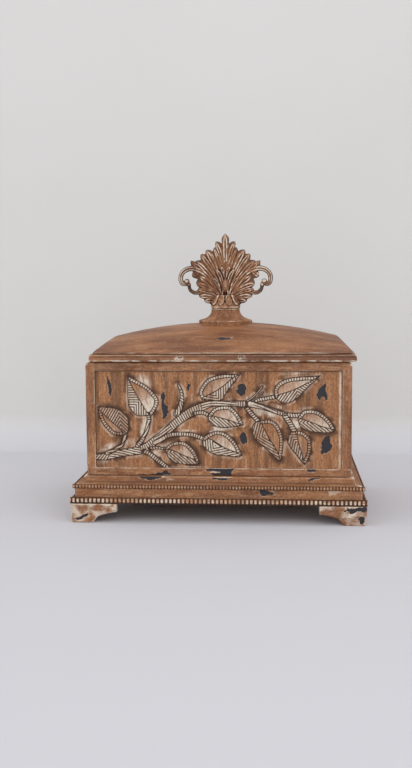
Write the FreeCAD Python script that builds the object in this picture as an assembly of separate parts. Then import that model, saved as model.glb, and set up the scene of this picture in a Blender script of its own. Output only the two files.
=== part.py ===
"""Keepsake box in carved hardwood: framed body on a beaded plinth with bracket feet,
and a loose domed lid with an acanthus finial.

Frame: millimetres, +Z up, origin on the resting surface under the centre of the plinth.
The carved front panel faces -Y. Every four-sided piece is drawn once for the front,
facing -Y, and turned about Z to its own side.
"""

import FreeCAD, Part  # noqa: E401  this order keeps the modules loadable

import math
import os

from FreeCAD import Vector

# ---------------------------------------------------------------- driving dimensions
# Body
BODY_LENGTH = 270.0          # over the outer faces of the frame, along X
BODY_DEPTH = 160.0           # over the outer faces of the frame, along Y
BODY_HEIGHT = 116.2          # from the plinth to the top of the walls
FRAME_THICKNESS = 10.0       # posts, sills and top rails, through the wall
POST_WIDTH = 10.0            # corner posts as seen from any side
SILL_HEIGHT = 8.4
TOP_RAIL_HEIGHT = 9.0
CORNER_ARRIS = 1.6           # worn upright corners
TOP_ARRIS = 2.4              # worn top edge of the walls
PANEL_THICKNESS = 4.0
PANEL_SETBACK = 2.6          # panel face behind the frame face
GROOVE_DEPTH = 2.0           # panel edge let into the frame
PANEL_CLEARANCE = 0.2        # around a panel in its grooves
CARVING_RELIEF = 0.9         # vine above the ground of the front panel
CARVING_MARGIN = 0.3         # between the vine and the frame
CARVING_ROOT = 0.5           # how deep the raised wood is drawn into the panel
LEAF_SHARES = (0.08, 0.22, 0.4, 0.6, 0.8, 0.93)  # corners of a leaf's side, along its length
LEAF_FULLNESS = 0.8          # under 1 makes a leaf's side rounder
BOTTOM_THICKNESS = 6.0
BOTTOM_CLEARANCE = 0.4

# Plinth and its mouldings, as reaches outside the body faces
PLINTH_INNER = -16.0         # inner edge of the plinth rails
STEP_REACH = 3.2             # small step under the walls
STEP_HEIGHT = 6.6
STEP_BEVEL = 0.9
PLINTH_REACH = 10.6          # plinth fascia
PLINTH_HEIGHT = 26.8         # whole plinth, step included
PLINTH_TOP_FALL = 0.7        # the weathered top runs down to the fascia
BEAD_RADIUS = 2.1
BEAD_CREST = 0.4             # upright part of the bead's face, as a share of its half height
BEAD_PITCH = 3.25
BEAD_NOTCH_DEPTH = 1.7
BEAD_NOTCH_WIDTH = 1.5
RIB_REACH = 15.0             # foot of the flared rib moulding
RIB_HEIGHT = 6.0
RIB_PITCH = 4.3
RIB_NOTCH_DEPTH = 1.9
RIB_NOTCH_WIDTH = 1.7
RIB_CUT_LEAD = 0.4           # the rib cuts run past the moulding by this share of its height
RIB_CUT_OUT = 3.0            # and start this far outside its face

# Bracket feet
FOOT_HEIGHT = 19.8
FOOT_LENGTH = 48.0           # along each side, from the corner
FOOT_PAD_LENGTH = 23.5       # part of it that stands on the surface
FOOT_TAPER = 1.6             # the outer face leans in this much at the bottom
FOOT_THICKNESS = 12.0
FOOT_TIP_HEIGHT = 8.8        # height of the bracket's free end
FOOT_BEND_REACH = 28.0       # from the corner to where the pad's slope meets the sweep
FOOT_BEND_RISE = 6.4
FOOT_SWEEP_BULGE = 0.9       # hollow of the sweep off its chord
FOOT_BLANK_MARGIN = 1.0      # blank outside the finished faces, front and back

# Lid
LID_PLAY = 0.3               # lid rim over the walls
LID_SHIFT_X = 4.0            # the loose lid rests to one side, within the play of its lip
RIM_OVERHANG_X = 0.5
RIM_OVERHANG_Y = 1.0
RIM_HEIGHT = 7.4
RIM_WIDTH = 24.0
RIM_ARRIS = 0.9
RIM_BEAD_RADIUS = 1.3        # half round along the rim's top edge
RIM_QUIRK = 0.8              # sunk line under that half round
DOME_INSET = 1.0             # dome's foot inside the rim's edge
DOME_RISE = 29.6             # crown above the rim, at mid length
DOME_END_RISE = 14.6         # crown above the rim, where the ends are cut
DOME_END_RUN = 14.6          # the sloping ends come in this far
DOME_SECTIONS = 17           # arches that the dome is drawn through
TROUGH_HALF_LENGTH = 96.0    # hollow on the dome's underside
TROUGH_RISE = 12.5
LIP_THICKNESS = 6.0
LIP_DROP = 9.0
LIP_CLEARANCE = 4.4          # lip to wall, each side, with the lid centred

# Finial
FINIAL_BASE_RADIUS = 29.0
FINIAL_BASE_EDGE = 2.4       # thickness of the turned foot's rim
FINIAL_BASE_HEIGHT = 14.4    # above the crown
FINIAL_NECK_RADIUS = 15.2
FINIAL_NECK_BAND = 2.0       # upright band under the leaf's collar
FINIAL_SKIRT = 6.0           # wood below the crown that is scribed away
COVE_SHARES = (0.25, 0.5, 0.75, 1.0)
TURNED_SIDES = 24
TENON_RADIUS = 6.0
TENON_LENGTH = 7.0
TENON_CLEARANCE = 0.1
TENON_END_GAP = 0.6
COLLAR_RADIUS = 17.0
COLLAR_HEIGHT = 5.0
COLLAR_EDGE = 1.6
CALYX_RADIUS = 9.0           # where the collar's top runs into the fan
STRAIGHT_BEND = 0.5          # degrees, the least bend that an arc is drawn with
FAN_ROOT = 14.0              # above the collar's foot
BUD_RADIUS = 4.4
BUD_REACH = 8.0              # how far the bud stands out, front and back
BUD_LENGTH = 15.5
BUD_RISE = 24.0              # the bud's middle, above the collar's foot
BUD_SIDES = 8
BUD_SHARES = (0.04, 0.18, 0.4, 0.65, 0.85, 0.97)
SCROLL_SIDES = 6
SCROLL_DEPTH = 1.3           # a scroll's half depth, as a share of its half width
SCROLL_EYE = 1.15            # round eye at a scroll's end, as a share of the same
SCROLL_EYE_SIDES = 10
SCROLL_RINGS_PER_PLACE = 2   # rings of a scroll for each place on its middle
SCREW_RADIUS = 2.0
SCREW_HEAD_RADIUS = 4.2
SCREW_HEAD_HEIGHT = 2.4
SCREW_BITE = 6.4             # thread length inside the turned foot
SCREW_CLEARANCE = 0.25       # in the dome
SCREW_SEAT_DEPTH = 0.6       # flat seat cut into the trough for the head
SCREW_SEAT_PLAY = 0.5        # around the head
PILOT_CLEARANCE = 0.05       # in the turned foot

# Scalloped edge of the fan on one side, from the top down, as (reach from the axis, rise
# above the collar's foot) of each lobe's tip and of the notch after it.
SCALLOPS = (
    ((0.0, 80.3), (3.4, 71.2)),
    ((10.4, 71.4), (8.4, 66.4)),
    ((12.4, 64.6), (12.8, 61.0)),
    ((20.8, 62.6), (19.4, 55.6)),
    ((26.4, 58.2), (25.8, 51.6)),
    ((31.8, 51.0), (33.2, 48.4)),
    ((37.6, 51.0), (34.0, 42.6)),
    ((36.0, 34.2), (27.6, 34.4)),
    ((31.6, 26.6), (27.4, 21.6)),
    ((30.4, 20.6), (28.0, 17.2)),
    ((28.6, 12.6), (23.6, 10.4)),
    ((22.6, 7.4), (16.6, 4.6)),
)
SCALLOP_SHOULDER = 0.22      # how far a scallop swells off the line to its tip, of that line
FAN_THICKNESS = 5.0
# Ridges of the fan: foot, tip, bend in degrees, width and thickness.
CENTRE_RIDGE = ((0.0, 30.0), (0.0, 79.0), 0.0, 6.0, 10.0)
SIDE_RIDGES = (
    ((1.5, 44.0), (9.8, 70.6), 16.0, 4.6, 8.4),
    ((3.0, 24.0), (20.0, 61.6), 14.0, 7.0, 10.4),
    ((8.0, 36.0), (25.8, 57.2), 12.0, 4.8, 8.6),
    ((5.0, 20.0), (31.2, 50.0), 10.0, 6.4, 9.8),
    ((5.0, 14.0), (30.8, 26.2), 22.0, 7.6, 9.6),
    ((5.0, 9.0), (27.8, 12.8), 26.0, 7.4, 9.6),
    ((3.0, 5.0), (22.2, 6.4), 24.0, 6.6, 10.0),
)
# A ridge's sections: share of its length, then of its greatest width and thickness.
RIDGE_SHAPE = (
    (0.0, 0.45, 0.90),
    (0.45, 0.85, 1.0),
    (0.82, 1.0, 0.75),
    (1.0, 0.15, 0.40),
)
# Scrolls on one side: places along the middle, half width at the start and the end.
SCROLLS = (
    (((6.0, 17.0), (20.0, 35.0), (27.0, 40.3), (35.5, 42.9), (42.4, 41.6), (47.0, 37.6),
      (48.5, 32.0), (46.8, 26.8), (42.6, 26.8)), 3.3, 2.8),
    (((22.0, 20.0), (28.0, 17.8), (33.6, 16.9), (38.4, 20.4), (39.4, 25.6)), 2.6, 2.0),
)

# Leaves of the carved vine, as (reach along X, height above the table) of base and tip, then
# how far the sides swell, left and right of the way to the tip, each with the share of the
# length at which it is widest.
VINE_LEAVES = (
    ((-95.0, 88.0), (-123.0, 116.5), (9.3, 0.40), (15.1, 0.36)),
    ((-69.5, 108.5), (-91.3, 148.5), (14.1, 0.34), (15.5, 0.30)),
    ((-17.0, 126.0), (22.5, 150.0), (12.9, 0.34), (10.2, 0.36)),
    ((-10.0, 108.0), (26.0, 99.0), (14.5, 0.44), (8.7, 0.34)),
    ((-54.0, 73.5), (-18.5, 58.5), (14.6, 0.40), (8.6, 0.40)),
    ((-16.0, 81.5), (24.5, 67.5), (16.6, 0.36), (7.5, 0.38)),
    ((59.0, 126.0), (103.0, 149.0), (13.2, 0.28), (9.3, 0.28)),
    ((42.0, 103.0), (63.5, 61.5), (15.6, 0.36), (11.3, 0.24)),
    ((81.0, 107.0), (118.5, 94.0), (12.5, 0.38), (9.5, 0.38)),
    ((78.0, 93.0), (88.0, 58.5), (12.4, 0.40), (9.1, 0.28)),
)
# Stems of the vine: places along them, then the width at both ends.
VINE_STEMS = (
    (((-127.0, 65.0), (-100.5, 69.0), (-73.5, 75.0), (-56.0, 88.5), (-37.5, 105.0), (-17.0, 117.0),
      (7.5, 121.0), (31.5, 120.0)), 7.5, 6.0),
    (((-114.0, 69.0), (-104.5, 73.5), (-98.0, 78.5), (-94.5, 88.5)), 3.4, 3.0),
    (((-82.5, 76.0), (-73.0, 92.5), (-70.5, 109.0)), 3.8, 3.8),
    (((-75.5, 71.5), (-62.0, 62.5), (-50.0, 53.0)), 4.3, 4.3),
    (((-71.5, 74.5), (-53.5, 73.5)), 2.6, 2.6),
    (((-42.0, 109.0), (-36.5, 124.5), (-36.8, 132.5), (-40.0, 140.0)), 6.0, 1.5),
    (((-66.0, 79.5), (-51.0, 87.5), (-32.5, 89.0), (-15.0, 84.5)), 4.2, 4.2),
    (((-25.0, 111.5), (-9.0, 108.5)), 3.6, 3.6),
    (((29.0, 120.5), (41.0, 124.5), (59.5, 128.0)), 4.2, 4.0),
    (((31.0, 120.5), (55.0, 114.0), (82.0, 108.5)), 6.0, 4.4),
    (((28.0, 119.0), (42.5, 101.5)), 4.2, 4.2),
    (((67.0, 111.0), (78.0, 92.5)), 5.0, 5.0),
    (((29.0, 122.5), (45.0, 138.0)), 2.0, 1.6),
)

# ---------------------------------------------------------------- derived levels
PLINTH_Z = FOOT_HEIGHT
FASCIA_TOP_Z = FOOT_HEIGHT + PLINTH_HEIGHT - STEP_HEIGHT - PLINTH_TOP_FALL
WALL_Z = FOOT_HEIGHT + PLINTH_HEIGHT
WALL_TOP_Z = WALL_Z + BODY_HEIGHT
RIM_Z = WALL_TOP_Z + LID_PLAY
RIM_TOP_Z = RIM_Z + RIM_HEIGHT
CROWN_Z = RIM_TOP_Z + DOME_RISE
LEAF_Z = CROWN_Z + FINIAL_BASE_HEIGHT

HALF_X = BODY_LENGTH / 2
HALF_Y = BODY_DEPTH / 2
RIM_HALF_X = HALF_X + RIM_OVERHANG_X
RIM_HALF_Y = HALF_Y + RIM_OVERHANG_Y

SIDES = ("front", "right", "back", "left")
UP = Vector(0, 0, 1)
FAR = 400.0                  # longer than any piece, for cutting tools
EDGE_TOLERANCE = 1e-6        # for picking edges by place


# ---------------------------------------------------------------- drawing helpers
def polygon_face(points):
    """Planar face through points given in order."""
    vectors = [Vector(*p) for p in points]
    return Part.Face(Part.makePolygon(vectors + vectors[:1]))


def prism(points, direction):
    """Solid drawn by pushing a polygon along a direction."""
    return polygon_face(points).extrude(Vector(*direction))


def box(low, high):
    """Solid block between two corners."""
    size = Vector(*high) - Vector(*low)
    return Part.makeBox(size.x, size.y, size.z, Vector(*low))


def fuse_all(solids):
    """One clean solid from pieces that touch or overlap."""
    first, rest = solids[0], solids[1:]
    return first.multiFuse(rest).removeSplitter() if rest else first


def turned(shape, side):
    """A piece drawn for the front, turned to its own side."""
    result = shape.copy()
    result.rotate(Vector(0, 0, 0), UP, 90.0 * SIDES.index(side))
    return result


def side_halves(side, half_x, half_y):
    """Half length along a side, and half distance across the box to it."""
    return (half_x, half_y) if side in ("front", "back") else (half_y, half_x)


def mitre_block(along, across, inner, outer, low, high):
    """Block between the two 45 degree corner planes of a front-facing side."""
    corners = [
        (-(along + inner), -(across + inner), low),
        (along + inner, -(across + inner), low),
        (along + outer, -(across + outer), low),
        (-(along + outer), -(across + outer), low),
    ]
    return prism(corners, (0, 0, high - low))


def mitred_rail(section, along, across):
    """Front-facing rail with mitred ends. section is a face in the YZ plane, with
    Y counted outward from the body face as a negative distance."""
    reach = [-v.Point.y for v in section.Vertexes]
    heights = [v.Point.z for v in section.Vertexes]
    bar = section.copy()
    bar.translate(Vector(-FAR / 2, -across, 0))
    bar = bar.extrude(Vector(FAR, 0, 0))
    block = mitre_block(
        along, across, min(reach), max(reach), min(heights), max(heights)
    )
    return bar.common(block)


def outline(points):
    """Face in the YZ plane from (reach, height) corners."""
    return polygon_face([(0, -reach, height) for reach, height in points])


def notch_row(length, pitch, width, depth, face_y, low, high):
    """Upright V cuts, one between each two beads, into a face that looks to -Y."""
    count = max(1, round(length / pitch))
    step = length / count
    cuts = []
    for index in range(1, count):
        x = -length / 2 + index * step
        cuts.append(
            prism(
                [
                    (x - width, face_y - depth, low),
                    (x + width, face_y - depth, low),
                    (x, face_y + depth, low),
                ],
                (0, 0, high - low),
            )
        )
    return Part.makeCompound(cuts)


def faceted(rings):
    """Closed solid of flat triangles through rings of as many corners each."""
    faces = [polygon_face(rings[0][::-1]), polygon_face(rings[-1])]
    for low, high in zip(rings, rings[1:]):
        for index in range(len(low)):
            following = (index + 1) % len(low)
            a, b, c, d = low[index], low[following], high[following], high[index]
            faces += [polygon_face([a, b, c]), polygon_face([a, c, d])]
    solid = Part.Solid(Part.Shell(faces))
    return solid if solid.Volume > 0 else solid.reversed()


# ---------------------------------------------------------------- body
def groove_block(side):
    """The space that a panel's edges take in the frame, clearance included."""
    along, across = side_halves(side, HALF_X, HALF_Y)
    span = along - POST_WIDTH + GROOVE_DEPTH + PANEL_CLEARANCE
    low = WALL_Z + SILL_HEIGHT - GROOVE_DEPTH - PANEL_CLEARANCE
    high = WALL_TOP_Z - TOP_RAIL_HEIGHT + GROOVE_DEPTH + PANEL_CLEARANCE
    face = -across + PANEL_SETBACK - PANEL_CLEARANCE
    back = -across + PANEL_SETBACK + PANEL_THICKNESS + PANEL_CLEARANCE
    return turned(box((-span, face, low), (span, back, high)), side)


def leaf_outline(base, tip, left, right):
    """Corners of a leaf in the panel's plane, up its left side and back down its right."""
    base, tip = Vector(base[0], 0, base[1]), Vector(tip[0], 0, tip[1])
    chord = tip - base
    leftward = Vector(-chord.z, 0, chord.x).normalize()

    def side_point(share, swell, widest, sign):
        # The power moves the middle of the sine to where the side is widest.
        turn = math.pi * share ** (math.log(0.5) / math.log(widest))
        return base + chord * share + leftward * (sign * swell * math.sin(turn) ** LEAF_FULLNESS)

    up = [side_point(share, *left, 1) for share in LEAF_SHARES]
    down = [side_point(share, *right, -1) for share in reversed(LEAF_SHARES)]
    return [base, *up, tip, *down]


def stem_outline(places, start_width, end_width):
    """Corners of a tapering strip along places in the panel's plane."""
    spine = [Vector(x, 0, z) for x, z in places]
    left, right = [], []
    for index, place in enumerate(spine):
        way = spine[min(index + 1, len(spine) - 1)] - spine[max(index - 1, 0)]
        leftward = Vector(-way.z, 0, way.x).normalize()
        width = start_width + (end_width - start_width) * index / (len(spine) - 1)
        left.append(place + leftward * (width / 2))
        right.append(place - leftward * (width / 2))
    return left + right[::-1]


def raised_vine(face):
    """Leaves and stems that stand above the front panel's face, inside the frame."""
    outlines = [leaf_outline(*leaf) for leaf in VINE_LEAVES]
    outlines += [stem_outline(*stem) for stem in VINE_STEMS]
    blanks = []
    for corners in outlines:
        blank = polygon_face(corners)
        blank.translate(Vector(0, face + CARVING_ROOT, 0))
        blanks.append(blank.extrude(Vector(0, -CARVING_ROOT - CARVING_RELIEF, 0)))
    span = HALF_X - POST_WIDTH - CARVING_MARGIN
    low = WALL_Z + SILL_HEIGHT + CARVING_MARGIN
    high = WALL_TOP_Z - TOP_RAIL_HEIGHT - CARVING_MARGIN
    window = box((-span, face - CARVING_RELIEF, low), (span, face + CARVING_ROOT, high))
    return fuse_all(blanks).common(window)


def panel(side):
    """Flat panel held in the grooves of the posts, sill and top rail."""
    along, across = side_halves(side, HALF_X, HALF_Y)
    span = along - POST_WIDTH + GROOVE_DEPTH
    low = WALL_Z + SILL_HEIGHT - GROOVE_DEPTH
    high = WALL_TOP_Z - TOP_RAIL_HEIGHT + GROOVE_DEPTH
    face = -across + PANEL_SETBACK
    board = box((-span, face, low), (span, face + PANEL_THICKNESS, high))
    return turned(board, side)


def carved_panel():
    """Front panel with the vine raised on it."""
    vine = raised_vine(-HALF_Y + PANEL_SETBACK)
    return fuse_all([panel("front"), *vine.Solids])


def sill(side):
    """Bottom rail of a wall, mitred to its neighbours under the posts."""
    along, across = side_halves(side, HALF_X, HALF_Y)
    shape = outline(
        [
            (-FRAME_THICKNESS, WALL_Z),
            (0, WALL_Z),
            (0, WALL_Z + SILL_HEIGHT),
            (-FRAME_THICKNESS, WALL_Z + SILL_HEIGHT),
        ]
    )
    rail = turned(mitred_rail(shape, along, across), side)
    return rail.cut(groove_block(side))


def corner_post(sign_x, sign_y):
    """Square post on the sill corner, grooved for two panels, with a worn edge."""
    low, high = WALL_Z + SILL_HEIGHT, WALL_TOP_Z
    inner_x, inner_y = sign_x * (HALF_X - POST_WIDTH), sign_y * (HALF_Y - POST_WIDTH)
    x0, x1 = sorted((sign_x * HALF_X, inner_x))
    y0, y1 = sorted((sign_y * HALF_Y, inner_y))
    post = box((x0, y0, low), (x1, y1, high))
    outer_x, outer_y = sign_x * HALF_X, sign_y * HALF_Y
    corner = [
        edge
        for edge in post.Edges
        if all(
            abs(v.Point.x - outer_x) < EDGE_TOLERANCE
            and abs(v.Point.y - outer_y) < EDGE_TOLERANCE
            for v in edge.Vertexes
        )
    ]
    post = post.makeChamfer(CORNER_ARRIS, corner)
    top = [
        edge
        for edge in post.Edges
        if all(abs(v.Point.z - high) < EDGE_TOLERANCE for v in edge.Vertexes)
        and not all(abs(v.Point.x - inner_x) < EDGE_TOLERANCE for v in edge.Vertexes)
        and not all(abs(v.Point.y - inner_y) < EDGE_TOLERANCE for v in edge.Vertexes)
    ]
    post = post.makeChamfer(TOP_ARRIS, top)
    for side in ("front" if sign_y < 0 else "back", "right" if sign_x > 0 else "left"):
        post = post.cut(groove_block(side))
    return post


def top_rail(side):
    """Rail between two posts, with a worn top edge."""
    along, across = side_halves(side, HALF_X, HALF_Y)
    span = along - POST_WIDTH
    rail = box(
        (-span, -across, WALL_TOP_Z - TOP_RAIL_HEIGHT),
        (span, -across + FRAME_THICKNESS, WALL_TOP_Z),
    )
    worn = [
        edge
        for edge in rail.Edges
        if all(
            abs(v.Point.y + across) < EDGE_TOLERANCE
            and abs(v.Point.z - WALL_TOP_Z) < EDGE_TOLERANCE
            for v in edge.Vertexes
        )
    ]
    rail = rail.makeChamfer(TOP_ARRIS, worn)
    return turned(rail, side).cut(groove_block(side))


def bottom_board():
    """Floor of the box: lies on the plinth's ledge, inside the sills."""
    half_x = HALF_X - FRAME_THICKNESS - BOTTOM_CLEARANCE
    half_y = HALF_Y - FRAME_THICKNESS - BOTTOM_CLEARANCE
    return box((-half_x, -half_y, WALL_Z), (half_x, half_y, WALL_Z + BOTTOM_THICKNESS))


# ---------------------------------------------------------------- plinth and mouldings
def plinth_rail(side):
    """Moulded plinth rail: bevelled step, falling top and upright fascia."""
    along, across = side_halves(side, HALF_X, HALF_Y)
    shape = outline(
        [
            (PLINTH_INNER, PLINTH_Z),
            (PLINTH_REACH, PLINTH_Z),
            (PLINTH_REACH, FASCIA_TOP_Z),
            (STEP_REACH, WALL_Z - STEP_HEIGHT),
            (STEP_REACH, WALL_Z - STEP_BEVEL),
            (STEP_REACH - STEP_BEVEL, WALL_Z),
            (PLINTH_INNER, WALL_Z),
        ]
    )
    return turned(mitred_rail(shape, along, across), side)


def bead_strip(side):
    """Small rounded strip under the plinth's top edge, cut into beads."""
    along, across = side_halves(side, HALF_X, HALF_Y)
    z = FASCIA_TOP_Z - BEAD_RADIUS
    reach = PLINTH_REACH + BEAD_RADIUS
    shape = outline(
        [
            (PLINTH_REACH, z - BEAD_RADIUS),
            (reach, z - BEAD_CREST * BEAD_RADIUS),
            (reach, z + BEAD_CREST * BEAD_RADIUS),
            (PLINTH_REACH, z + BEAD_RADIUS),
        ]
    )
    strip = mitred_rail(shape, along, across)
    cuts = notch_row(
        2 * (along + reach),
        BEAD_PITCH,
        BEAD_NOTCH_WIDTH,
        BEAD_NOTCH_DEPTH,
        -across - reach,
        z - 2 * BEAD_RADIUS,
        z + 2 * BEAD_RADIUS,
    )
    return turned(strip.cut(cuts), side)


def rib_strip(side):
    """Flared moulding at the foot of the fascia, cut into upright ribs."""
    along, across = side_halves(side, HALF_X, HALF_Y)
    top = PLINTH_Z + RIB_HEIGHT
    shape = outline(
        [
            (PLINTH_REACH, PLINTH_Z),
            (RIB_REACH, PLINTH_Z),
            (PLINTH_REACH, top),
        ]
    )
    strip = mitred_rail(shape, along, across)
    # The cuts lean with the flare, so every rib keeps its width from top to foot.
    length = 2 * (along + RIB_REACH)
    count = max(1, round(length / RIB_PITCH))
    step = length / count
    slope = Vector(0, PLINTH_REACH - RIB_REACH, -RIB_HEIGHT)
    outward = Vector(0, slope.z, -slope.y).normalize()
    base = Vector(0, -PLINTH_REACH, top) - slope * RIB_CUT_LEAD
    cuts = []
    for index in range(1, count):
        x = -length / 2 + index * step
        lift = base + Vector(x, -across, 0)
        cuts.append(
            prism(
                [
                    lift + outward * RIB_CUT_OUT + Vector(-RIB_NOTCH_WIDTH, 0, 0),
                    lift + outward * RIB_CUT_OUT + Vector(RIB_NOTCH_WIDTH, 0, 0),
                    lift - outward * RIB_NOTCH_DEPTH,
                ],
                slope * (1 + 2 * RIB_CUT_LEAD),
            )
        )
    return turned(strip.cut(Part.makeCompound(cuts)), side)


# ---------------------------------------------------------------- feet
def bracket_profile(half_along, across):
    """Front outline of one arm of a foot, as a face in the XZ plane at the foot's face."""
    corner = half_along + RIB_REACH
    y = -(across + RIB_REACH) - FOOT_BLANK_MARGIN
    tip = corner - FOOT_LENGTH
    pad = corner - FOOT_PAD_LENGTH
    bend = corner - FOOT_BEND_REACH
    tip_z = FOOT_HEIGHT - FOOT_TIP_HEIGHT
    points = {
        "outer_top": Vector(corner, y, FOOT_HEIGHT),
        "outer_foot": Vector(corner - FOOT_TAPER, y, 0),
        "pad_end": Vector(pad, y, 0),
        "bend": Vector(bend, y, FOOT_BEND_RISE),
        "sweep": Vector(
            (tip + bend) / 2, y, (tip_z + FOOT_BEND_RISE) / 2 + FOOT_SWEEP_BULGE
        ),
        "tip_low": Vector(tip, y, tip_z),
        "tip_high": Vector(tip, y, FOOT_HEIGHT),
    }
    return Part.Face(
        Part.Wire(
            [
                Part.makeLine(points["outer_top"], points["outer_foot"]),
                Part.makeLine(points["outer_foot"], points["pad_end"]),
                Part.makeLine(points["pad_end"], points["bend"]),
                Part.Arc(points["bend"], points["sweep"], points["tip_low"]).toShape(),
                Part.makeLine(points["tip_low"], points["tip_high"]),
                Part.makeLine(points["tip_high"], points["outer_top"]),
            ]
        )
    )


def foot_arm(half_along, across):
    """One arm of the front right foot, along the front, with a leaning outer face."""
    face_top = across + RIB_REACH
    blank = FOOT_THICKNESS + 2 * FOOT_BLANK_MARGIN
    arm = bracket_profile(half_along, across).extrude(Vector(0, blank, 0))
    lean = prism(
        [
            (0, -face_top, FOOT_HEIGHT),
            (0, -face_top + FOOT_TAPER, 0),
            (0, -face_top + FOOT_THICKNESS, 0),
            (0, -face_top + FOOT_THICKNESS, FOOT_HEIGHT),
        ],
        (FAR, 0, 0),
    )
    return arm.common(lean)


def foot(sign_x, sign_y):
    """Bracket foot: two swept arms that meet at the corner."""
    front_arm = foot_arm(HALF_X, HALF_Y)
    side_arm = foot_arm(HALF_Y, HALF_X)
    # Swap X and Y for the arm along the side, by mirroring across the corner diagonal.
    side_arm.rotate(Vector(0, 0, 0), UP, 90)
    side_arm = side_arm.mirror(Vector(0, 0, 0), Vector(0, 1, 0))
    whole = fuse_all([front_arm, side_arm])
    if sign_x < 0:
        whole = whole.mirror(Vector(0, 0, 0), Vector(1, 0, 0))
    if sign_y > 0:
        whole = whole.mirror(Vector(0, 0, 0), Vector(0, 1, 0))
    return whole


# ---------------------------------------------------------------- lid
def placed_on_lid(shape):
    """A lid piece, drawn centred, moved to where the loose lid rests."""
    result = shape.copy()
    result.translate(Vector(LID_SHIFT_X, 0, 0))
    return result


def rim_rail(side):
    """Mitred rail of the lid's rim: flat band, sunk line and half round above it."""
    along, across = side_halves(side, RIM_HALF_X, RIM_HALF_Y)
    bead_low = RIM_TOP_Z - 2 * RIM_BEAD_RADIUS
    shape = outline(
        [
            (-RIM_WIDTH, RIM_TOP_Z),
            (-RIM_WIDTH, RIM_Z),
            (-RIM_ARRIS, RIM_Z),
            (0, RIM_Z + RIM_ARRIS),
            (0, bead_low - RIM_QUIRK),
            (-RIM_QUIRK, bead_low),
            (0, bead_low + RIM_BEAD_RADIUS / 2),
            (0, RIM_TOP_Z - RIM_BEAD_RADIUS / 2),
            (-RIM_BEAD_RADIUS, RIM_TOP_Z),
        ]
    )
    return placed_on_lid(turned(mitred_rail(shape, along, across), side))


def crown_rise(x, rise, end_rise, end_x):
    """Height of the crown line above the rim at a place along the lid."""
    radius = (end_x**2 + (rise - end_rise) ** 2) / (2 * (rise - end_rise))
    return rise - (radius - math.sqrt(radius**2 - x**2))


def arch_wire(x, half_y, rise):
    """Arch across the lid at one place along it, closed by its chord on the rim's top."""
    low, crown, high = (
        Vector(x, -half_y, RIM_TOP_Z),
        Vector(x, 0, RIM_TOP_Z + rise),
        Vector(x, half_y, RIM_TOP_Z),
    )
    return Part.Wire([Part.Arc(low, crown, high).toShape(), Part.makeLine(high, low)])


def dome_block():
    """Solid dome on the rim: arches across the lid, whose crowns follow an arch along it,
    with sloping ends."""
    half_x = RIM_HALF_X - DOME_INSET
    half_y = RIM_HALF_Y - DOME_INSET
    sections = []
    for index in range(DOME_SECTIONS):
        x = half_x * (2 * index / (DOME_SECTIONS - 1) - 1)
        rise = crown_rise(x, DOME_RISE, DOME_END_RISE, half_x - DOME_END_RUN)
        sections.append(arch_wire(x, half_y, rise))
    body = Part.makeLoft(sections, True, True)
    slope = DOME_END_RISE / DOME_END_RUN
    ends = prism(
        [
            (-half_x, -RIM_HALF_Y, RIM_TOP_Z),
            (half_x, -RIM_HALF_Y, RIM_TOP_Z),
            (half_x - 2 * DOME_RISE / slope, -RIM_HALF_Y, RIM_TOP_Z + 2 * DOME_RISE),
            (-half_x + 2 * DOME_RISE / slope, -RIM_HALF_Y, RIM_TOP_Z + 2 * DOME_RISE),
        ],
        (0, 2 * RIM_HALF_Y, 0),
    )
    return body.common(ends)


def lid_dome():
    """Dome hollowed by an arched trough, with the finial's screw hole in its crown."""
    trough = Part.Face(arch_wire(-TROUGH_HALF_LENGTH, RIM_HALF_Y - RIM_WIDTH, TROUGH_RISE))
    trough = trough.extrude(Vector(2 * TROUGH_HALF_LENGTH, 0, 0))
    hole = Part.makeCylinder(
        SCREW_RADIUS + SCREW_CLEARANCE, 2 * DOME_RISE, Vector(0, 0, RIM_TOP_Z)
    )
    seat = Part.makeCylinder(
        SCREW_HEAD_RADIUS + SCREW_SEAT_PLAY,
        TROUGH_RISE + SCREW_SEAT_DEPTH,
        Vector(0, 0, RIM_TOP_Z),
    )
    return placed_on_lid(dome_block().cut(trough).cut(hole).cut(seat))


def lip_batten(side):
    """Locating batten under the rim; the long ones run between the short ones."""
    along, across = side_halves(
        side,
        HALF_X - FRAME_THICKNESS - LIP_CLEARANCE,
        HALF_Y - FRAME_THICKNESS - LIP_CLEARANCE,
    )
    span = along - (LIP_THICKNESS if side in ("front", "back") else 0)
    batten = box(
        (-span, -across, RIM_Z - LIP_DROP), (span, -across + LIP_THICKNESS, RIM_Z)
    )
    return placed_on_lid(turned(batten, side))


# ---------------------------------------------------------------- finial
def round_ring(radius, height):
    """Corners of a fine-sided ring around the finial's axis."""
    turns = [2 * math.pi * index / TURNED_SIDES for index in range(TURNED_SIDES)]
    return [
        Vector(radius * math.cos(turn), radius * math.sin(turn), height) for turn in turns
    ]


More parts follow.
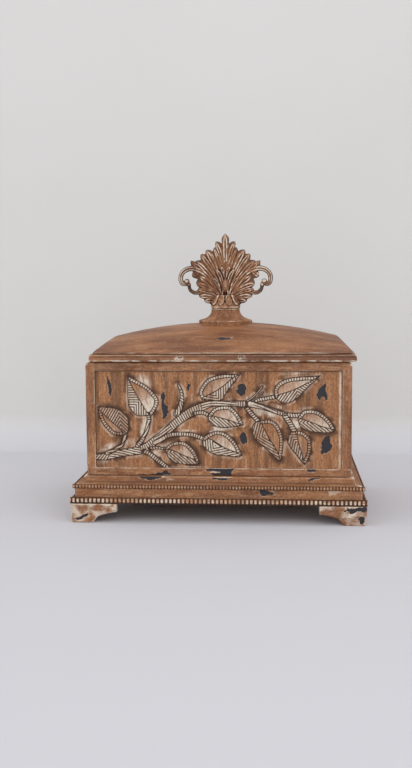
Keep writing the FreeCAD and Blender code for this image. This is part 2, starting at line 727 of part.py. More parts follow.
def finial_base():
    """Turned foot of the finial: rounded rim, cove and neck, scribed to the dome."""
    edge_z = CROWN_Z + FINIAL_BASE_EDGE
    bevel = FINIAL_BASE_EDGE / 3
    cove_run = FINIAL_BASE_RADIUS - bevel - FINIAL_NECK_RADIUS
    cove_rise = LEAF_Z - FINIAL_NECK_BAND - edge_z
    profile = [
        (FINIAL_BASE_RADIUS - bevel, CROWN_Z - FINIAL_SKIRT),
        (FINIAL_BASE_RADIUS, CROWN_Z + bevel),
        (FINIAL_BASE_RADIUS - bevel, edge_z),
    ]
    # A quarter of an oval makes the cove, from the rim's top to the neck.
    for share in COVE_SHARES:
        turn = math.radians(90 * share)
        profile.append(
            (
                FINIAL_NECK_RADIUS + cove_run * (1 - math.sin(turn)),
                edge_z + cove_rise * (1 - math.cos(turn)),
            )
        )
    profile.append((FINIAL_NECK_RADIUS, LEAF_Z))
    body = faceted([round_ring(radius, height) for radius, height in profile])
    socket = Part.makeCylinder(
        TENON_RADIUS + TENON_CLEARANCE,
        TENON_LENGTH + TENON_END_GAP,
        Vector(0, 0, LEAF_Z - TENON_LENGTH - TENON_END_GAP),
    )
    pilot = Part.makeCylinder(
        SCREW_RADIUS + PILOT_CLEARANCE,
        FINIAL_SKIRT + FINIAL_BASE_HEIGHT - TENON_LENGTH,
        Vector(0, 0, CROWN_Z - FINIAL_SKIRT),
    )
    half_y = RIM_HALF_Y - DOME_INSET
    crown = Part.Face(arch_wire(-FINIAL_BASE_RADIUS, half_y, DOME_RISE))
    crown = crown.extrude(Vector(2 * FINIAL_BASE_RADIUS, 0, 0))
    return placed_on_lid(body.cut(crown).cut(socket).cut(pilot))


def scroll(places, start_radius, end_radius):
    """Six-sided scroll along a curve through places in the XZ plane, with a round eye."""
    curve = Part.BSplineCurve()
    curve.interpolate([Vector(x, 0, z) for x, z in places])
    first, last = curve.FirstParameter, curve.LastParameter
    rings = []
    count = SCROLL_RINGS_PER_PLACE * (len(places) - 1)
    for index in range(count + 1):
        place = curve.value(first + (last - first) * index / count)
        (way,) = curve.tangent(first + (last - first) * index / count)
        half = start_radius + (end_radius - start_radius) * index / count
        across = Vector(way.z, 0, -way.x)
        ring = []
        for corner in range(SCROLL_SIDES):
            turn = 2 * math.pi * (corner + 0.5) / SCROLL_SIDES
            depth = Vector(0, SCROLL_DEPTH * half * math.sin(turn), 0)
            ring.append(place + across * (half * math.cos(turn)) + depth)
        rings.append(ring)
    eye = end_radius * SCROLL_EYE
    centre = curve.value(last)
    disc = []
    for corner in range(SCROLL_EYE_SIDES):
        turn = 2 * math.pi * corner / SCROLL_EYE_SIDES
        disc.append(centre + Vector(eye * math.cos(turn), -eye, eye * math.sin(turn)))
    return [faceted(rings), prism(disc, (0, 2 * eye, 0))]


def fan_plate():
    """Flat middle of the fan, with a scalloped edge."""
    corners = []
    for (tip, notch), (_, before) in zip(SCALLOPS, ((None, None), *SCALLOPS)):
        tip, notch = Vector(tip[0], 0, tip[1]), Vector(notch[0], 0, notch[1])
        if before:
            before = Vector(before[0], 0, before[1])
            corners.append(scallop_shoulder(before, tip, 1))
        corners += [tip, scallop_shoulder(notch, tip, -1), notch]
    mirrored = [Vector(-corner.x, 0, corner.z) for corner in corners[:0:-1]]
    edge = [corner - Vector(0, FAN_THICKNESS / 2, 0) for corner in corners + mirrored]
    return prism(edge, (0, FAN_THICKNESS, 0))


def scallop_shoulder(notch, tip, turn):
    """Corner that swells a scallop's side off the line from its notch to its tip."""
    side = tip - notch
    return (notch + tip) / 2 + Vector(-side.z, 0, side.x) * (turn * SCALLOP_SHOULDER)


def fan_ridge(foot, tip, bend, width, thickness):
    """One ridge of the fan: crested sections along an arc from its foot to its tip.
    bend is how far the ridge turns outward along its length, in degrees."""
    root = Vector(foot[0], 0, foot[1])
    chord = Vector(tip[0], 0, tip[1]) - root
    half_bend = math.radians(max(bend, STRAIGHT_BEND)) / 2
    radius = chord.Length / 2 / math.sin(half_bend)
    lean = math.atan2(chord.x, chord.z)
    begin = lean - half_bend
    sections = []
    for share, breadth, depth in RIDGE_SHAPE:
        swing = lean + half_bend * (2 * share - 1)
        # Place on the arc, from the difference of its two radius directions.
        place = root + Vector(
            radius * (math.cos(begin) - math.cos(swing)),
            0,
            radius * (math.sin(swing) - math.sin(begin)),
        )
        wide = Vector(math.cos(swing), 0, -math.sin(swing)) * (width / 2 * breadth)
        deep = Vector(0, thickness / 2 * depth, 0)
        sections.append([place - wide, place - deep, place + wide, place + deep])
    return faceted(sections)


def bud_section(share):
    """Eight-sided ring of the bud, at a share of its length from its foot."""
    swell = math.sin(math.pi * share) ** 0.6
    corners = []
    for index in range(BUD_SIDES):
        turn = 2 * math.pi * (index + 0.5) / BUD_SIDES
        corners.append(
            Vector(
                BUD_RADIUS * swell * math.cos(turn),
                BUD_REACH * swell * math.sin(turn),
                BUD_RISE + BUD_LENGTH * (share - 0.5),
            )
        )
    return corners


def finial_leaf():
    """Acanthus fan with pierced side scrolls and a bud, on a collar with a tenon."""
    tenon = Part.makeCylinder(
        TENON_RADIUS, TENON_LENGTH + COLLAR_HEIGHT, Vector(0, 0, -TENON_LENGTH)
    )
    collar_profile = (
        (COLLAR_RADIUS - COLLAR_EDGE, 0.0),
        (COLLAR_RADIUS, COLLAR_EDGE),
        (COLLAR_RADIUS, COLLAR_HEIGHT),
        (CALYX_RADIUS, FAN_ROOT),
    )
    collar = faceted([round_ring(radius, height) for radius, height in collar_profile])
    bud = faceted([bud_section(share) for share in BUD_SHARES])
    pieces = [tenon, collar, bud, fan_plate(), fan_ridge(*CENTRE_RIDGE)]
    one_side = [fan_ridge(*ridge) for ridge in SIDE_RIDGES]
    for arm in SCROLLS:
        one_side += scroll(*arm)
    for piece in one_side:
        pieces += [piece, piece.mirror(Vector(0, 0, 0), Vector(1, 0, 0))]
    whole = fuse_all(pieces)
    whole.translate(Vector(0, 0, LEAF_Z))
    return placed_on_lid(whole)


def finial_screw():
    """Screw from inside the lid up into the turned foot."""
    seat = RIM_TOP_Z + TROUGH_RISE + SCREW_SEAT_DEPTH
    head = Part.makeCylinder(
        SCREW_HEAD_RADIUS, SCREW_HEAD_HEIGHT, Vector(0, 0, seat - SCREW_HEAD_HEIGHT)
    )
    shank = Part.makeCylinder(
        SCREW_RADIUS, CROWN_Z + SCREW_BITE - seat, Vector(0, 0, seat)
    )
    return placed_on_lid(fuse_all([head, shank]))


# ---------------------------------------------------------------- assembly
def nodes():
    """Every piece by its name."""
    made = {}
    for side in SIDES:
        made[f"{side}_sill"] = sill(side)
        made[f"{side}_top_rail"] = top_rail(side)
        if side != "front":
            made[f"{side}_panel"] = panel(side)
        made[f"{side}_plinth_rail"] = plinth_rail(side)
        made[f"{side}_bead_strip"] = bead_strip(side)
        made[f"{side}_rib_strip"] = rib_strip(side)
        made[f"{side}_lid_rim"] = rim_rail(side)
        made[f"{side}_lid_lip"] = lip_batten(side)
    for depth, sign_y in (("front", -1), ("back", 1)):
        for hand, sign_x in (("left", -1), ("right", 1)):
            made[f"{depth}_{hand}_post"] = corner_post(sign_x, sign_y)
            made[f"{depth}_{hand}_foot"] = foot(sign_x, sign_y)
    made["carved_front_panel"] = carved_panel()
    made["bottom_board"] = bottom_board()
    made["lid_dome"] = lid_dome()
    made["finial_base"] = finial_base()
    made["finial_leaf"] = finial_leaf()
    made["finial_screw"] = finial_screw()
    return made


def main():
    os.makedirs("parts", exist_ok=True)
    for name, shape in nodes().items():
        solids = shape.Solids
        if not solids or not shape.isValid():
            raise ValueError(f"{name} is not a valid solid")
        whole = solids[0] if len(solids) == 1 else Part.makeCompound(solids)
        whole.exportStep(f"parts/{name}.step")
        print(f"{name:22s} solids {len(solids)} volume {whole.Volume:10.1f}")


main()
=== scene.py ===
import math

import bmesh
import bpy
import numpy as np
from bpy.props import FloatProperty, FloatVectorProperty, PointerProperty
from mathutils import Matrix, Vector


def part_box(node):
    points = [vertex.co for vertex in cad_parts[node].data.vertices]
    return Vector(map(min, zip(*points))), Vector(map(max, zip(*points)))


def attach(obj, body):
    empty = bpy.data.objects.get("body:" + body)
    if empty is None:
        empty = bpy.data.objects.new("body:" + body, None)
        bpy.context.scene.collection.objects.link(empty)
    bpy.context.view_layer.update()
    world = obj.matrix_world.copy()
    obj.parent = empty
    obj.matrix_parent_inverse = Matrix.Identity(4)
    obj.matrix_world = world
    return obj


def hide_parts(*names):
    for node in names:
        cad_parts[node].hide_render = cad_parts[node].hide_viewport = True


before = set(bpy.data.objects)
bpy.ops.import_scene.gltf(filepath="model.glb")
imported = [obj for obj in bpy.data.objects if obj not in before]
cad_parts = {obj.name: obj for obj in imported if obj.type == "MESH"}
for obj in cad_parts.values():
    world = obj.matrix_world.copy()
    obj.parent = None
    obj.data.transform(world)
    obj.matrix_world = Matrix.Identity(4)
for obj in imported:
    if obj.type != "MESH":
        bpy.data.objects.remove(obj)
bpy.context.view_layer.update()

bl_info = {
    "name": "Carved keepsake box",
    "version": (1, 0, 0),
    "blender": (4, 5, 0),
    "location": "View3D > Sidebar > Keepsake Box",
    "description": "Finish and carving of a limed wooden keepsake box with a domed lid and a leaf finial",
    "category": "Add Mesh",
}

MM = 0.001
SIDES = ("front", "right", "back", "left")

# ---------------------------------------------------------------- the carved vine, in mm
# Every outline runs from the leaf's base to its tip: (reach along X, height above the table).
# banded: the rounded side, edged with small blocks. striped: the side cut with stripes.
# rib: the line between the two. stripes: a corner of the stripes, then the way each family
# of them faces, in degrees. lens: how much lime fills the smooth hollow beside the rib, graded lighter
# towards the lower right as painted light and shade. lime: how much lies on the rest of the leaf.
LEAVES = (
    dict(base=(-95, 88), tip=(-123, 116.5), lens=0.35, lime=0.5,
         banded=((-106, 88), (-113, 93.5), (-119, 101.5), (-122, 111)),
         striped=((-92, 92), (-91, 99), (-93, 107), (-102.5, 114.5), (-114.5, 116.5)),
         rib=((-99.5, 93.5), (-110.5, 103.5), (-121, 113.5)),
         stripes=((-100.3, 106.8), (-30, -135))),
    dict(base=(-69.5, 108.5), tip=(-91.3, 148.5), lens=0.75, lime=0.8,
         banded=((-67, 109), (-61.5, 118), (-61, 125), (-64.5, 130.5), (-72.5, 138.5), (-81.5, 143.5)),
         striped=((-82.5, 108.5), (-89.5, 116), (-91.5, 125), (-91.5, 143)),
         rib=((-73.3, 113.5), (-81.5, 127.5), (-87.5, 138.5)),
         stripes=((-83, 119.5), (-90, 180))),
    dict(base=(-17, 126), tip=(22.5, 150), lens=0.6, lime=0.75,
         banded=((-18.5, 133), (-13, 142.5), (-5.5, 147.5), (7.5, 150.3)),
         striped=((-14, 124.3), (-5.5, 123.7), (4, 124.5), (7.5, 130), (12, 136.5), (16, 142)),
         rib=((-12.5, 128), (-2.5, 133), (7.5, 140), (11.5, 144), (18.5, 148.5)),
         stripes=((-4, 131.5), (-53, 180, 82))),
    dict(base=(-10, 108), tip=(26, 99), lens=1.0, lime=0.85,
         banded=((-4, 115.5), (4.5, 118), (12.5, 117.5), (18.5, 112.5), (23, 106)),
         striped=((-8.5, 102.5), (-3, 97.5), (6.5, 96), (15.5, 97)),
         rib=((-3, 107.5), (11, 104), (22, 100)),
         stripes=((-7.5, 105.8), (-45, 49))),
    dict(base=(-54, 73.5), tip=(-18.5, 58.5), lens=0.7, lime=0.7,
         banded=((-50.5, 78), (-44, 81), (-34.5, 81), (-28, 76.5), (-22.5, 69.5)),
         striped=((-52, 68), (-48.5, 62.5), (-41.5, 59), (-30.5, 58)),
         rib=((-47.5, 73), (-35.5, 67.5), (-24, 63)),
         stripes=((-49, 70.5), (-45, 49))),
    dict(base=(-16, 81.5), tip=(24.5, 67.5), lens=0.9, lime=0.75,
         banded=((-13.5, 86.5), (-9.5, 89.5), (-1, 92.5), (7.5, 90.5), (14, 85.5), (19.5, 78.5)),
         striped=((-15, 77.5), (-9.5, 72), (-2.5, 68.5), (10.5, 67), (20, 66)),
         rib=((-8.5, 84.5), (-1, 80.5), (8, 75), (18.5, 71)),
         stripes=((-2.5, 77.5), (-123, 5, 102))),
    dict(base=(59, 126), tip=(103, 149), lens=0.8, lime=0.75,
         banded=((57.5, 130), (57.5, 135.5), (61, 141), (67.5, 145), (75.5, 147), (86, 148), (95.5, 148.3)),
         striped=((62, 123.5), (66, 122), (71.5, 121.5), (78, 125), (83, 129.5), (89.5, 136.5), (95.5, 142)),
         rib=((62.5, 130), (72, 133), (81, 137), (89.5, 141.5), (94, 143.8)),
         stripes=((80, 133.5), (-35, -120))),
    dict(base=(42, 103), tip=(63.5, 61.5), lens=0.15, lime=0.5,
         banded=((45, 103.5), (51.5, 104), (57, 102.5), (61.5, 97.5), (64.5, 90.5), (66, 83), (65.5, 73.5)),
         striped=((37.5, 101), (35, 95), (36.5, 87), (40.5, 82), (51.5, 72.5), (58, 66)),
         rib=((45, 99), (51.5, 86.5), (60.5, 71.5)),
         stripes=((47.5, 88.5), (-153, -15, 60))),
    dict(base=(81, 107), tip=(118.5, 94), lens=0.95, lime=0.85,
         banded=((86, 113), (93, 114.5), (101, 113), (108.5, 108), (114, 102)),
         striped=((82.5, 99.5), (86, 96), (92.5, 93), (101, 92), (111.5, 91.5)),
         rib=((86.5, 105), (96, 101.5), (104.5, 98), (114, 95.5)),
         stripes=((86, 101.5), (-45, 52))),
    dict(base=(78, 93), tip=(88, 58.5), lens=0.25, lime=0.5,
         banded=((80.5, 93), (86, 92), (89.5, 89.5), (93, 85.5), (94, 80.5), (94, 73.5), (92, 66)),
         striped=((74.5, 92), (71, 87), (70.5, 82.5), (73.5, 76.5), (79, 69.5), (83.5, 63.5)),
         rib=((80, 88), (82, 80), (85, 70)),
         stripes=((76.5, 84.5), (-90, -10))),
)
# points: the stem's middle line. widths: at even steps along it. cuts: (from, to, slant), with the
# first two as shares of the length and the slant in degrees, 0 across the stem and 90 along it.
STEMS = (
    dict(points=((-125, 65), (-115, 65.5), (-100.5, 69), (-82.5, 72), (-73.5, 75), (-64, 82.5), (-56, 88.5),
                 (-48, 96), (-37.5, 105), (-28, 111.5), (-17, 117), (-6, 120.5), (7.5, 121), (21.5, 120.5),
                 (31.5, 120)),
         widths=(5.5, 7.5, 7, 7.5, 9, 8.5, 8, 8, 8.3, 9, 8, 6, 5, 5.5, 7),
         cuts=((0, 0.08, -40), (0.08, 0.27, 68), (0.27, 0.38, -8), (0.38, 0.5, 84), (0.5, 0.72, -8),
               (0.72, 0.93, 86), (0.93, 1.0, 0))),
    dict(points=((-94.5, 88.5), (-98, 78.5), (-104.5, 73.5), (-114, 69)), widths=(3, 3, 3.2, 3.6),
         cuts=((0.2, 1, 75),)),
    dict(points=((-70.5, 109), (-70.5, 102.5), (-73, 92.5), (-77.5, 83), (-82.5, 77)), widths=(3.8,),
         cuts=((0, 0.2, 0), (0.2, 0.7, 80), (0.7, 1, 5))),
    dict(points=((-75.5, 71.5), (-68.5, 67.5), (-62, 62.5), (-52.5, 55)), widths=(4.3,), cuts=((0, 1, 0),)),
    dict(points=((-69.5, 74.5), (-61.5, 75), (-53.5, 73.5)), widths=(2.6,), cuts=((0, 1, 30),)),
    dict(points=((-40, 140), (-36.8, 132.5), (-36.5, 124.5), (-38.5, 116), (-42, 110)),
         widths=(1.5, 2.8, 3.8, 5, 6), cuts=((0.15, 0.6, -35), (0.6, 1, -60))),
    dict(points=((-64.5, 80), (-58, 83.5), (-51, 87.5), (-43.5, 89), (-32.5, 89), (-23.5, 88), (-15.5, 85)),
         widths=(4.2,), cuts=((0.2, 1, 0),)),
    dict(points=((-24, 110.5), (-16, 111.5), (-8.5, 108.5)), widths=(3.6,), cuts=((0, 1, 0),)),
    dict(points=((30.5, 121.5), (41, 124.5), (49, 126), (59, 128)), widths=(4, 3.6, 3.6, 4.2), cuts=((0, 1, 10),)),
    dict(points=((33, 120.5), (45, 117.5), (55, 114), (66, 110.5), (75, 109), (82, 109)), widths=(6, 4.4, 4, 4.6),
         cuts=((0.06, 0.55, 86), (0.55, 1, 20))),
    dict(points=((29, 116.5), (34.5, 110), (41, 103)), widths=(4.2,), cuts=((0, 1, -15),)),
    dict(points=((68, 108.5), (72.5, 101.5), (77, 93.5)), widths=(5,), cuts=((0, 1, -20),)),
    dict(points=((30, 123.5), (37.5, 129), (45, 138)), widths=(1.6,), cuts=()),
    dict(points=((34.5, 123.5), (41, 127.5), (45.5, 132)), widths=(1.4,), cuts=()),
)
# Lime left on the ground beside the carving: reach, height, half length, half width, turn in degrees, amount.
LIMED_GROUND = (
    (-113, 76, 13, 4.5, 25, 0.8), (-118, 60, 9, 3.5, 5, 0.4), (-76, 97, 14, 4.5, 75, 0.75),
    (-90, 81, 9, 4, 20, 0.5), (-74, 145.5, 12, 7, -35, 0.85), (-92.5, 130, 20, 1.8, 90, 0.45),
    (-58, 92, 14, 2.6, 42, 0.55), (-53, 76.5, 14, 5, 20, 0.6), (-62, 69, 8, 3.5, -30, 0.6),
    (5, 96, 16, 4, 5, 0.85), (0, 93.5, 12, 2.5, 10, 0.8), (-30, 93, 14, 1.6, 0, 0.5),
    (50, 111.5, 14, 4.5, -22, 0.8), (41, 112, 7, 4, -35, 0.8), (79, 100.5, 7, 4.5, -50, 0.8),
    (75, 151.5, 22, 2.2, 2, 0.7), (12, 121, 18, 2.5, 0, 0.7), (30, 127, 8, 2, 10, 0.5),
    (60, 118, 9, 2.6, -15, 0.6), (89, 116.5, 10, 1.8, 5, 0.5), (26.5, 60, 3, 14, 0, 0.1),
    (-25, 55.5, 32, 1.0, 0, 0.5), (122.5, 105, 1.4, 45, 0, 0.45), (-124, 100, 1.1, 40, 0, 0.35),
    (60, 55.6, 60, 0.9, 0, 0.45), (-100, 55.5, 24, 0.9, 0, 0.6),
)
# Flaked patches on the panel, as outlines: (reach, height).
PANEL_FLAKES = (
    ((-58.5, 131.5), (-57, 130), (-55.5, 131.8), (-53.5, 130.5), (-53.5, 126), (-55, 123), (-53.5, 119.5),
     (-51, 117.5), (-50.5, 111.5), (-53, 105.5), (-56.5, 104.5), (-56, 110), (-57.5, 116), (-57, 123)),
    ((20, 139), (22.5, 141), (25.5, 141.5), (27.5, 140), (28.5, 137.5), (29.8, 137), (28, 134.5), (27.5, 130),
     (24, 128.5), (21.5, 129), (20, 131.5), (17.5, 135), (20.5, 135.5)),
    ((108.5, 142.5), (109, 137.5), (108, 134.5), (110, 130), (110.5, 125), (109, 124.5), (107, 128), (104.5, 129),
     (103, 123.5), (101, 126.5), (99.5, 129.5), (101, 133.5), (103, 138), (107, 139)),
    ((24, 90.5), (26, 91.5), (28.5, 91), (29.5, 86.5), (29.5, 80.5), (28, 81), (25.5, 79.5), (22.5, 82.5), (22, 86)),
    ((112, 89), (113, 88), (113.5, 81), (115, 78), (114, 74), (109.5, 70.5), (107, 71.5), (105, 69.5), (103, 71.5),
     (105, 72.5), (104.5, 74.5), (104.5, 81), (107, 85.5)),
    ((-112.5, 148.5), (-110.5, 144), (-109, 141), (-108.3, 133), (-109.3, 128), (-111, 129.5), (-112, 138),
     (-113, 145)),
    ((-31.5, 142.8), (-29, 140.5), (-28, 138), (-30, 133.5), (-31.5, 137), (-30.5, 139)),
)

# Flaked patches on the front of the other pieces.
FRONT_FLAKES = (
    ((-81, 47.5), (-72.5, 47.5), (-66.5, 48), (-61.5, 49.5), (-57, 50), (-55, 52), (-52, 51.5), (-48, 48.5),
     (-48.5, 47.5), (-56, 47.5), (-58, 45), (-64.5, 43.5), (-67.5, 42.5), (-71.5, 42.5), (-73.5, 44), (-80.5, 45)),
    ((-13, 52.5), (-8, 55.5), (-3, 54.5), (16.5, 55), (17, 54), (14, 52), (14.5, 46.5), (4, 46.5), (-5, 46.5),
     (-8, 49.5), (2, 49.5), (2.5, 51), (-7, 51.5)),
    ((-6, 46), (4.5, 45), (14.5, 45.5), (14, 44.2), (4.5, 43.2), (-4, 44)),
    ((90, 56), (93, 56), (96, 55), (99.5, 53.5), (99, 52), (95, 52), (90.5, 52)),
    ((91, 43.5), (95, 46.8), (103, 47.3), (103, 45.8), (96, 44.5), (92.5, 43)),
    ((41, 40), (42, 38.5), (45.5, 38.5), (47, 36), (51, 34), (59.5, 31.5), (55, 30), (50, 30), (47, 28.5), (45, 29),
     (43, 32), (42, 35)),
    ((128.5, 19.5), (132.5, 18), (136.5, 18), (140.5, 19.5), (150.5, 20.5), (150.5, 17), (146.5, 14), (140.5, 15.5),
     (135.5, 12.5), (132, 13), (133, 15), (127, 14.5), (125.5, 16), (130.5, 16.5)),
    ((141.5, 9), (143.5, 10), (146, 9.5), (147.5, 8), (147, 3.5), (145, 1.5), (142.5, 2), (142.5, 5), (140.5, 7.5)),
    ((-145, 4), (-143.5, 6), (-142, 5), (-140, 5.5), (-137.5, 8), (-135, 9), (-132.5, 10), (-131.5, 8.5), (-133, 6.5),
     (-136.5, 5.5), (-138.5, 3.5), (-143, 2.5)),
    ((-40, 167.7), (-36, 168), (-36, 166.9), (-40, 166.7)),
    ((22, 168.5), (26, 168.5), (26, 167.5), (22, 167.5)),
    ((-3, 185.8), (4, 187), (8, 186.2), (14, 186.4), (10, 184.4), (2, 184.6)),
)
# Lime on the front of those pieces: amount, outline.
FRONT_LIME = (
    (0.95, ((124, 12), (132.5, 12.5), (139.5, 15.2), (146.5, 13.5), (145.5, 10), (140.5, 10.5), (137.5, 7),
            (129, 8.5))),
    (0.7, ((130.5, 3.5), (138.5, 3.5), (146.5, 2.5), (145.5, -0.5), (137.5, -0.5))),
    (0.45, ((-150, 5), (-143, 9.5), (-139.5, 10.5), (-131.5, 12), (-129.5, 5.5), (-135.5, 2), (-144, 1))),
    (0.8, ((-105.5, 19.8), (-102, 19.8), (-101, 15), (-103, 12), (-105, 15))),
    (0.9, ((-58.5, 47), (-50, 47.5), (-50, 46.5), (-57, 45.5))),
    (0.9, ((-6, 51.8), (2, 51.3), (2.5, 50.2), (-7.5, 50.2))),
    (0.9, ((-6, 46.8), (13.5, 46.8), (13.5, 45.7), (-5, 45.7))),
    (0.8, ((-53, 42.5), (-50, 44.5), (-44.5, 45), (-44.5, 43.5), (-49, 43.5), (-51, 41.5))),
    (0.5, ((111, 35), (116, 36), (122.5, 35.5), (123, 33), (117, 30), (113, 29.5), (111, 32))),
    (0.5, ((-65.5, 27), (-61, 30), (-58, 29), (-62, 26))),
    (0.8, ((-43, 165.5), (-34, 165.8), (-33, 169.2), (-42, 169.4))),
    (0.7, ((20, 166.5), (29, 166.5), (28, 169.3), (21, 169.3))),
    (0.6, ((-36, 163.4), (20, 163.4), (20, 164.6), (-36, 164.6))),
)


# ---------------------------------------------------------------- user's values
def srgb(red, green, blue):
    """A colour written in steps of 255, as the linear values that a shader takes."""
    shares = (red / 255, green / 255, blue / 255)
    return tuple(s / 12.92 if s <= 0.04045 else ((s + 0.055) / 1.055) ** 2.4 for s in shares)


def colour(name, words, default):
    return FloatVectorProperty(name=name, description=words, default=default, subtype="COLOR", min=0, max=1)


def length(name, words, default):
    return FloatProperty(name=name, description=words, default=default * MM, unit="LENGTH", min=0, precision=5)


def share(name, words, default):
    return FloatProperty(name=name, description=words, default=default, min=0, max=10)


class BoxColours(bpy.types.PropertyGroup):
    """Colours of the wood, the lime and the metal."""
    wood_light: colour("Light wood", "High fibres of the stained wood", srgb(192, 147, 106))
    wood_mid: colour("Wood", "Stained wood", srgb(160, 108, 70))
    wood_dark: colour("Dark wood", "Low fibres of the stained wood", srgb(110, 66, 42))
    wood_plain: colour("Plain wood", "Unstained wood inside the box", srgb(178, 138, 100))
    lime: colour("Lime", "White lime rubbed into the carving", srgb(218, 201, 181))
    # Dirt in the cuts, and painted shade in hollows, between parts and under the lid's rim.
    dirt_and_shade: colour("Grime", "Dirt in the cuts", srgb(60, 38, 27))
    char: colour("Flaked ground", "Dark ground where the finish has flaked off", srgb(47, 44, 47))
    steel: colour("Steel", "Zinc-plated screw", srgb(178, 178, 172))


class BoxWear(bpy.types.PropertyGroup):
    """How the wood is worn."""
    fine_cell: length("Fine cell", "Mesh spacing of the lid's front rim and of the finial", 0.55)
    tooth_cell: length("Tooth cell", "Mesh spacing of the beads and the ribs", 0.36)
    cell: length("Cell", "Mesh spacing of the front pieces and of the rest of the rim", 0.8)
    rough_cell: length("Rough cell", "Mesh spacing of the dome and of the pieces at the sides and the back", 1.3)
    nibble: length("Nibble", "How far the edges are worn back", 0.3)
    waver: length("Waver", "Hand-planed unevenness of the faces", 0.18)
    flake_depth: length("Flake depth", "Thickness of the finish that has flaked off", 0.45)
    flake_rim: length("Flake rim", "Width of the lime round a flaked patch", 0.6)


class BoxCarving(bpy.types.PropertyGroup):
    """Sizes of the carved vine."""
    grid: length("Grid", "Mesh spacing of the carved face", 0.53)
    relief: length("Relief", "How far leaves and stems stand above the ground", 0.9)
    cut: length("Cut", "Depth of a cut", 0.75)
    cut_half: length("Cut half width", "Half width of a cut", 0.8)
    stripe_pitch: length("Stripe pitch", "From one stripe to the next", 2.45)
    block_pitch: length("Block pitch", "From one edge block to the next", 2.8)
    band: length("Band", "Width of the edge band of blocks", 3.4)


class BoxStage(bpy.types.PropertyGroup):
    """Camera, lamps, cloth and wall."""
    lens: FloatProperty(name="Lens", description="Focal length, in mm", default=45.94, unit="CAMERA")
    key: share("Key lamp", "Strength of the large lamp in front", 1.0)
    fill: share("Fill lamp", "Strength of the large lamp on the left", 1.0)
    top: share("Top lamp", "Strength of the long lamp overhead", 1.0)
    floor: colour("Floor", "Pale cloth", srgb(204, 200, 202))
    wall: colour("Wall", "Pale wall", srgb(217, 212, 207))


def values(kind):
    return getattr(bpy.context.scene, "keepsake_" + kind)


# ---------------------------------------------------------------- shader maths
class Value:
    """A shader output that adds Math nodes when it is used in an expression."""

    def __init__(self, finish, socket):
        self.finish = finish
        self.socket = socket

    def maths(self, operation, first, second):
        return self.finish.node("ShaderNodeMath", {"operation": operation}, {0: first, 1: second})

    def __add__(self, other):
        return self.maths("ADD", self, other)

    def __sub__(self, other):
        return self.maths("SUBTRACT", self, other)

    def __rsub__(self, other):
        return self.maths("SUBTRACT", other, self)

    def __mul__(self, other):
        return self.maths("MULTIPLY", self, other)

    __radd__ = __add__
    __rmul__ = __mul__

    def top(self, other):
        return self.maths("MAXIMUM", self, other)

    def between(self, low, high):
        """0 below low, 1 above high and smooth in between."""
        return self.finish.node(
            "ShaderNodeMapRange",
            {"interpolation_type": "SMOOTHSTEP"},
            {"Value": self, "From Min": low, "From Max": high, "To Min": 0.0, "To Max": 1.0},
        )


class Finish:
    """One material, with its nodes."""

    def __init__(self, name):
        self.material = bpy.data.materials.new(name)
        self.material.use_nodes = True
        self.tree = self.material.node_tree
        self.shader = self.tree.nodes["Principled BSDF"]

    def node(self, kind, settings, sockets, output=0):
        """Adds a node: its settings first, then the values or links of its sockets."""
        made = self.tree.nodes.new(kind)
        for key, setting in settings.items():
            setattr(made, key, setting)
        for key, given in sockets.items():
            if isinstance(given, Value):
                self.tree.links.new(given.socket, made.inputs[key])
            else:
                made.inputs[key].default_value = given
        return Value(self, made.outputs[output])

    def attribute(self, name, output="Fac"):
        return self.node("ShaderNodeAttribute", {"attribute_name": name}, {}, output)

    def mix(self, amount, first, second):
        """A colour between two: amount 0 is the first and 1 the second."""
        first, second = ((*c, 1.0) if isinstance(c, tuple) else c for c in (first, second))
        return self.node("ShaderNodeMix", {"data_type": "RGBA"}, {0: amount, 6: first, 7: second}, 2)

    def stretch(self, vector, x, y, z):
        return self.node("ShaderNodeVectorMath", {"operation": "MULTIPLY"}, {0: vector, 1: (x, y, z)})

    def noise(self, vector, detail, roughness=0.55, distortion=0.0):
        sockets = {"Vector": vector, "Scale": 1.0, "Detail": detail, "Roughness": roughness,
                   "Distortion": distortion}
        return self.node("ShaderNodeTexNoise", {}, sockets)

    def feed(self, **sockets):
        """Links or sets the shader's own sockets, with underscores for spaces."""
        for key, given in sockets.items():
            socket = self.shader.inputs[key.replace("_", " ")]
            if isinstance(given, Value):
                self.tree.links.new(given.socket, socket)
            else:
                socket.default_value = given

    def clear_from_behind(self):
        """Makes the faces' backs clear, so that a wall hides nothing from a viewer behind it."""
        behind = self.node("ShaderNodeNewGeometry", {}, {}, "Backfacing")
        clear = self.node("ShaderNodeBsdfTransparent", {}, {}, "BSDF")
        front = Value(self, self.shader.outputs["BSDF"])
        both = self.node("ShaderNodeMixShader", {}, {0: behind, 1: front, 2: clear}, "Shader")
        self.tree.links.new(both.socket, self.tree.nodes["Material Output"].inputs["Surface"])

    def bump(self, height, strength, distance):
        sockets = {"Height": height, "Strength": strength, "Distance": distance}
        self.feed(Normal=self.node("ShaderNodeBump", {}, sockets))


# How fine the noises are along the grain and across it, per metre. Steel and cloth have no grain.
FIBRES = (70, 430, 430)
STREAKS = (12, 110, 110)
CLOUDS = (15, 50, 50)
SPECKS = (420, 620, 620)
PLAIN_FIBRES = (20, 480, 480)
RINGS = (5, 70, 70)
SCUFFS = (900, 900, 900)
STAINS = (3, 3, 3)


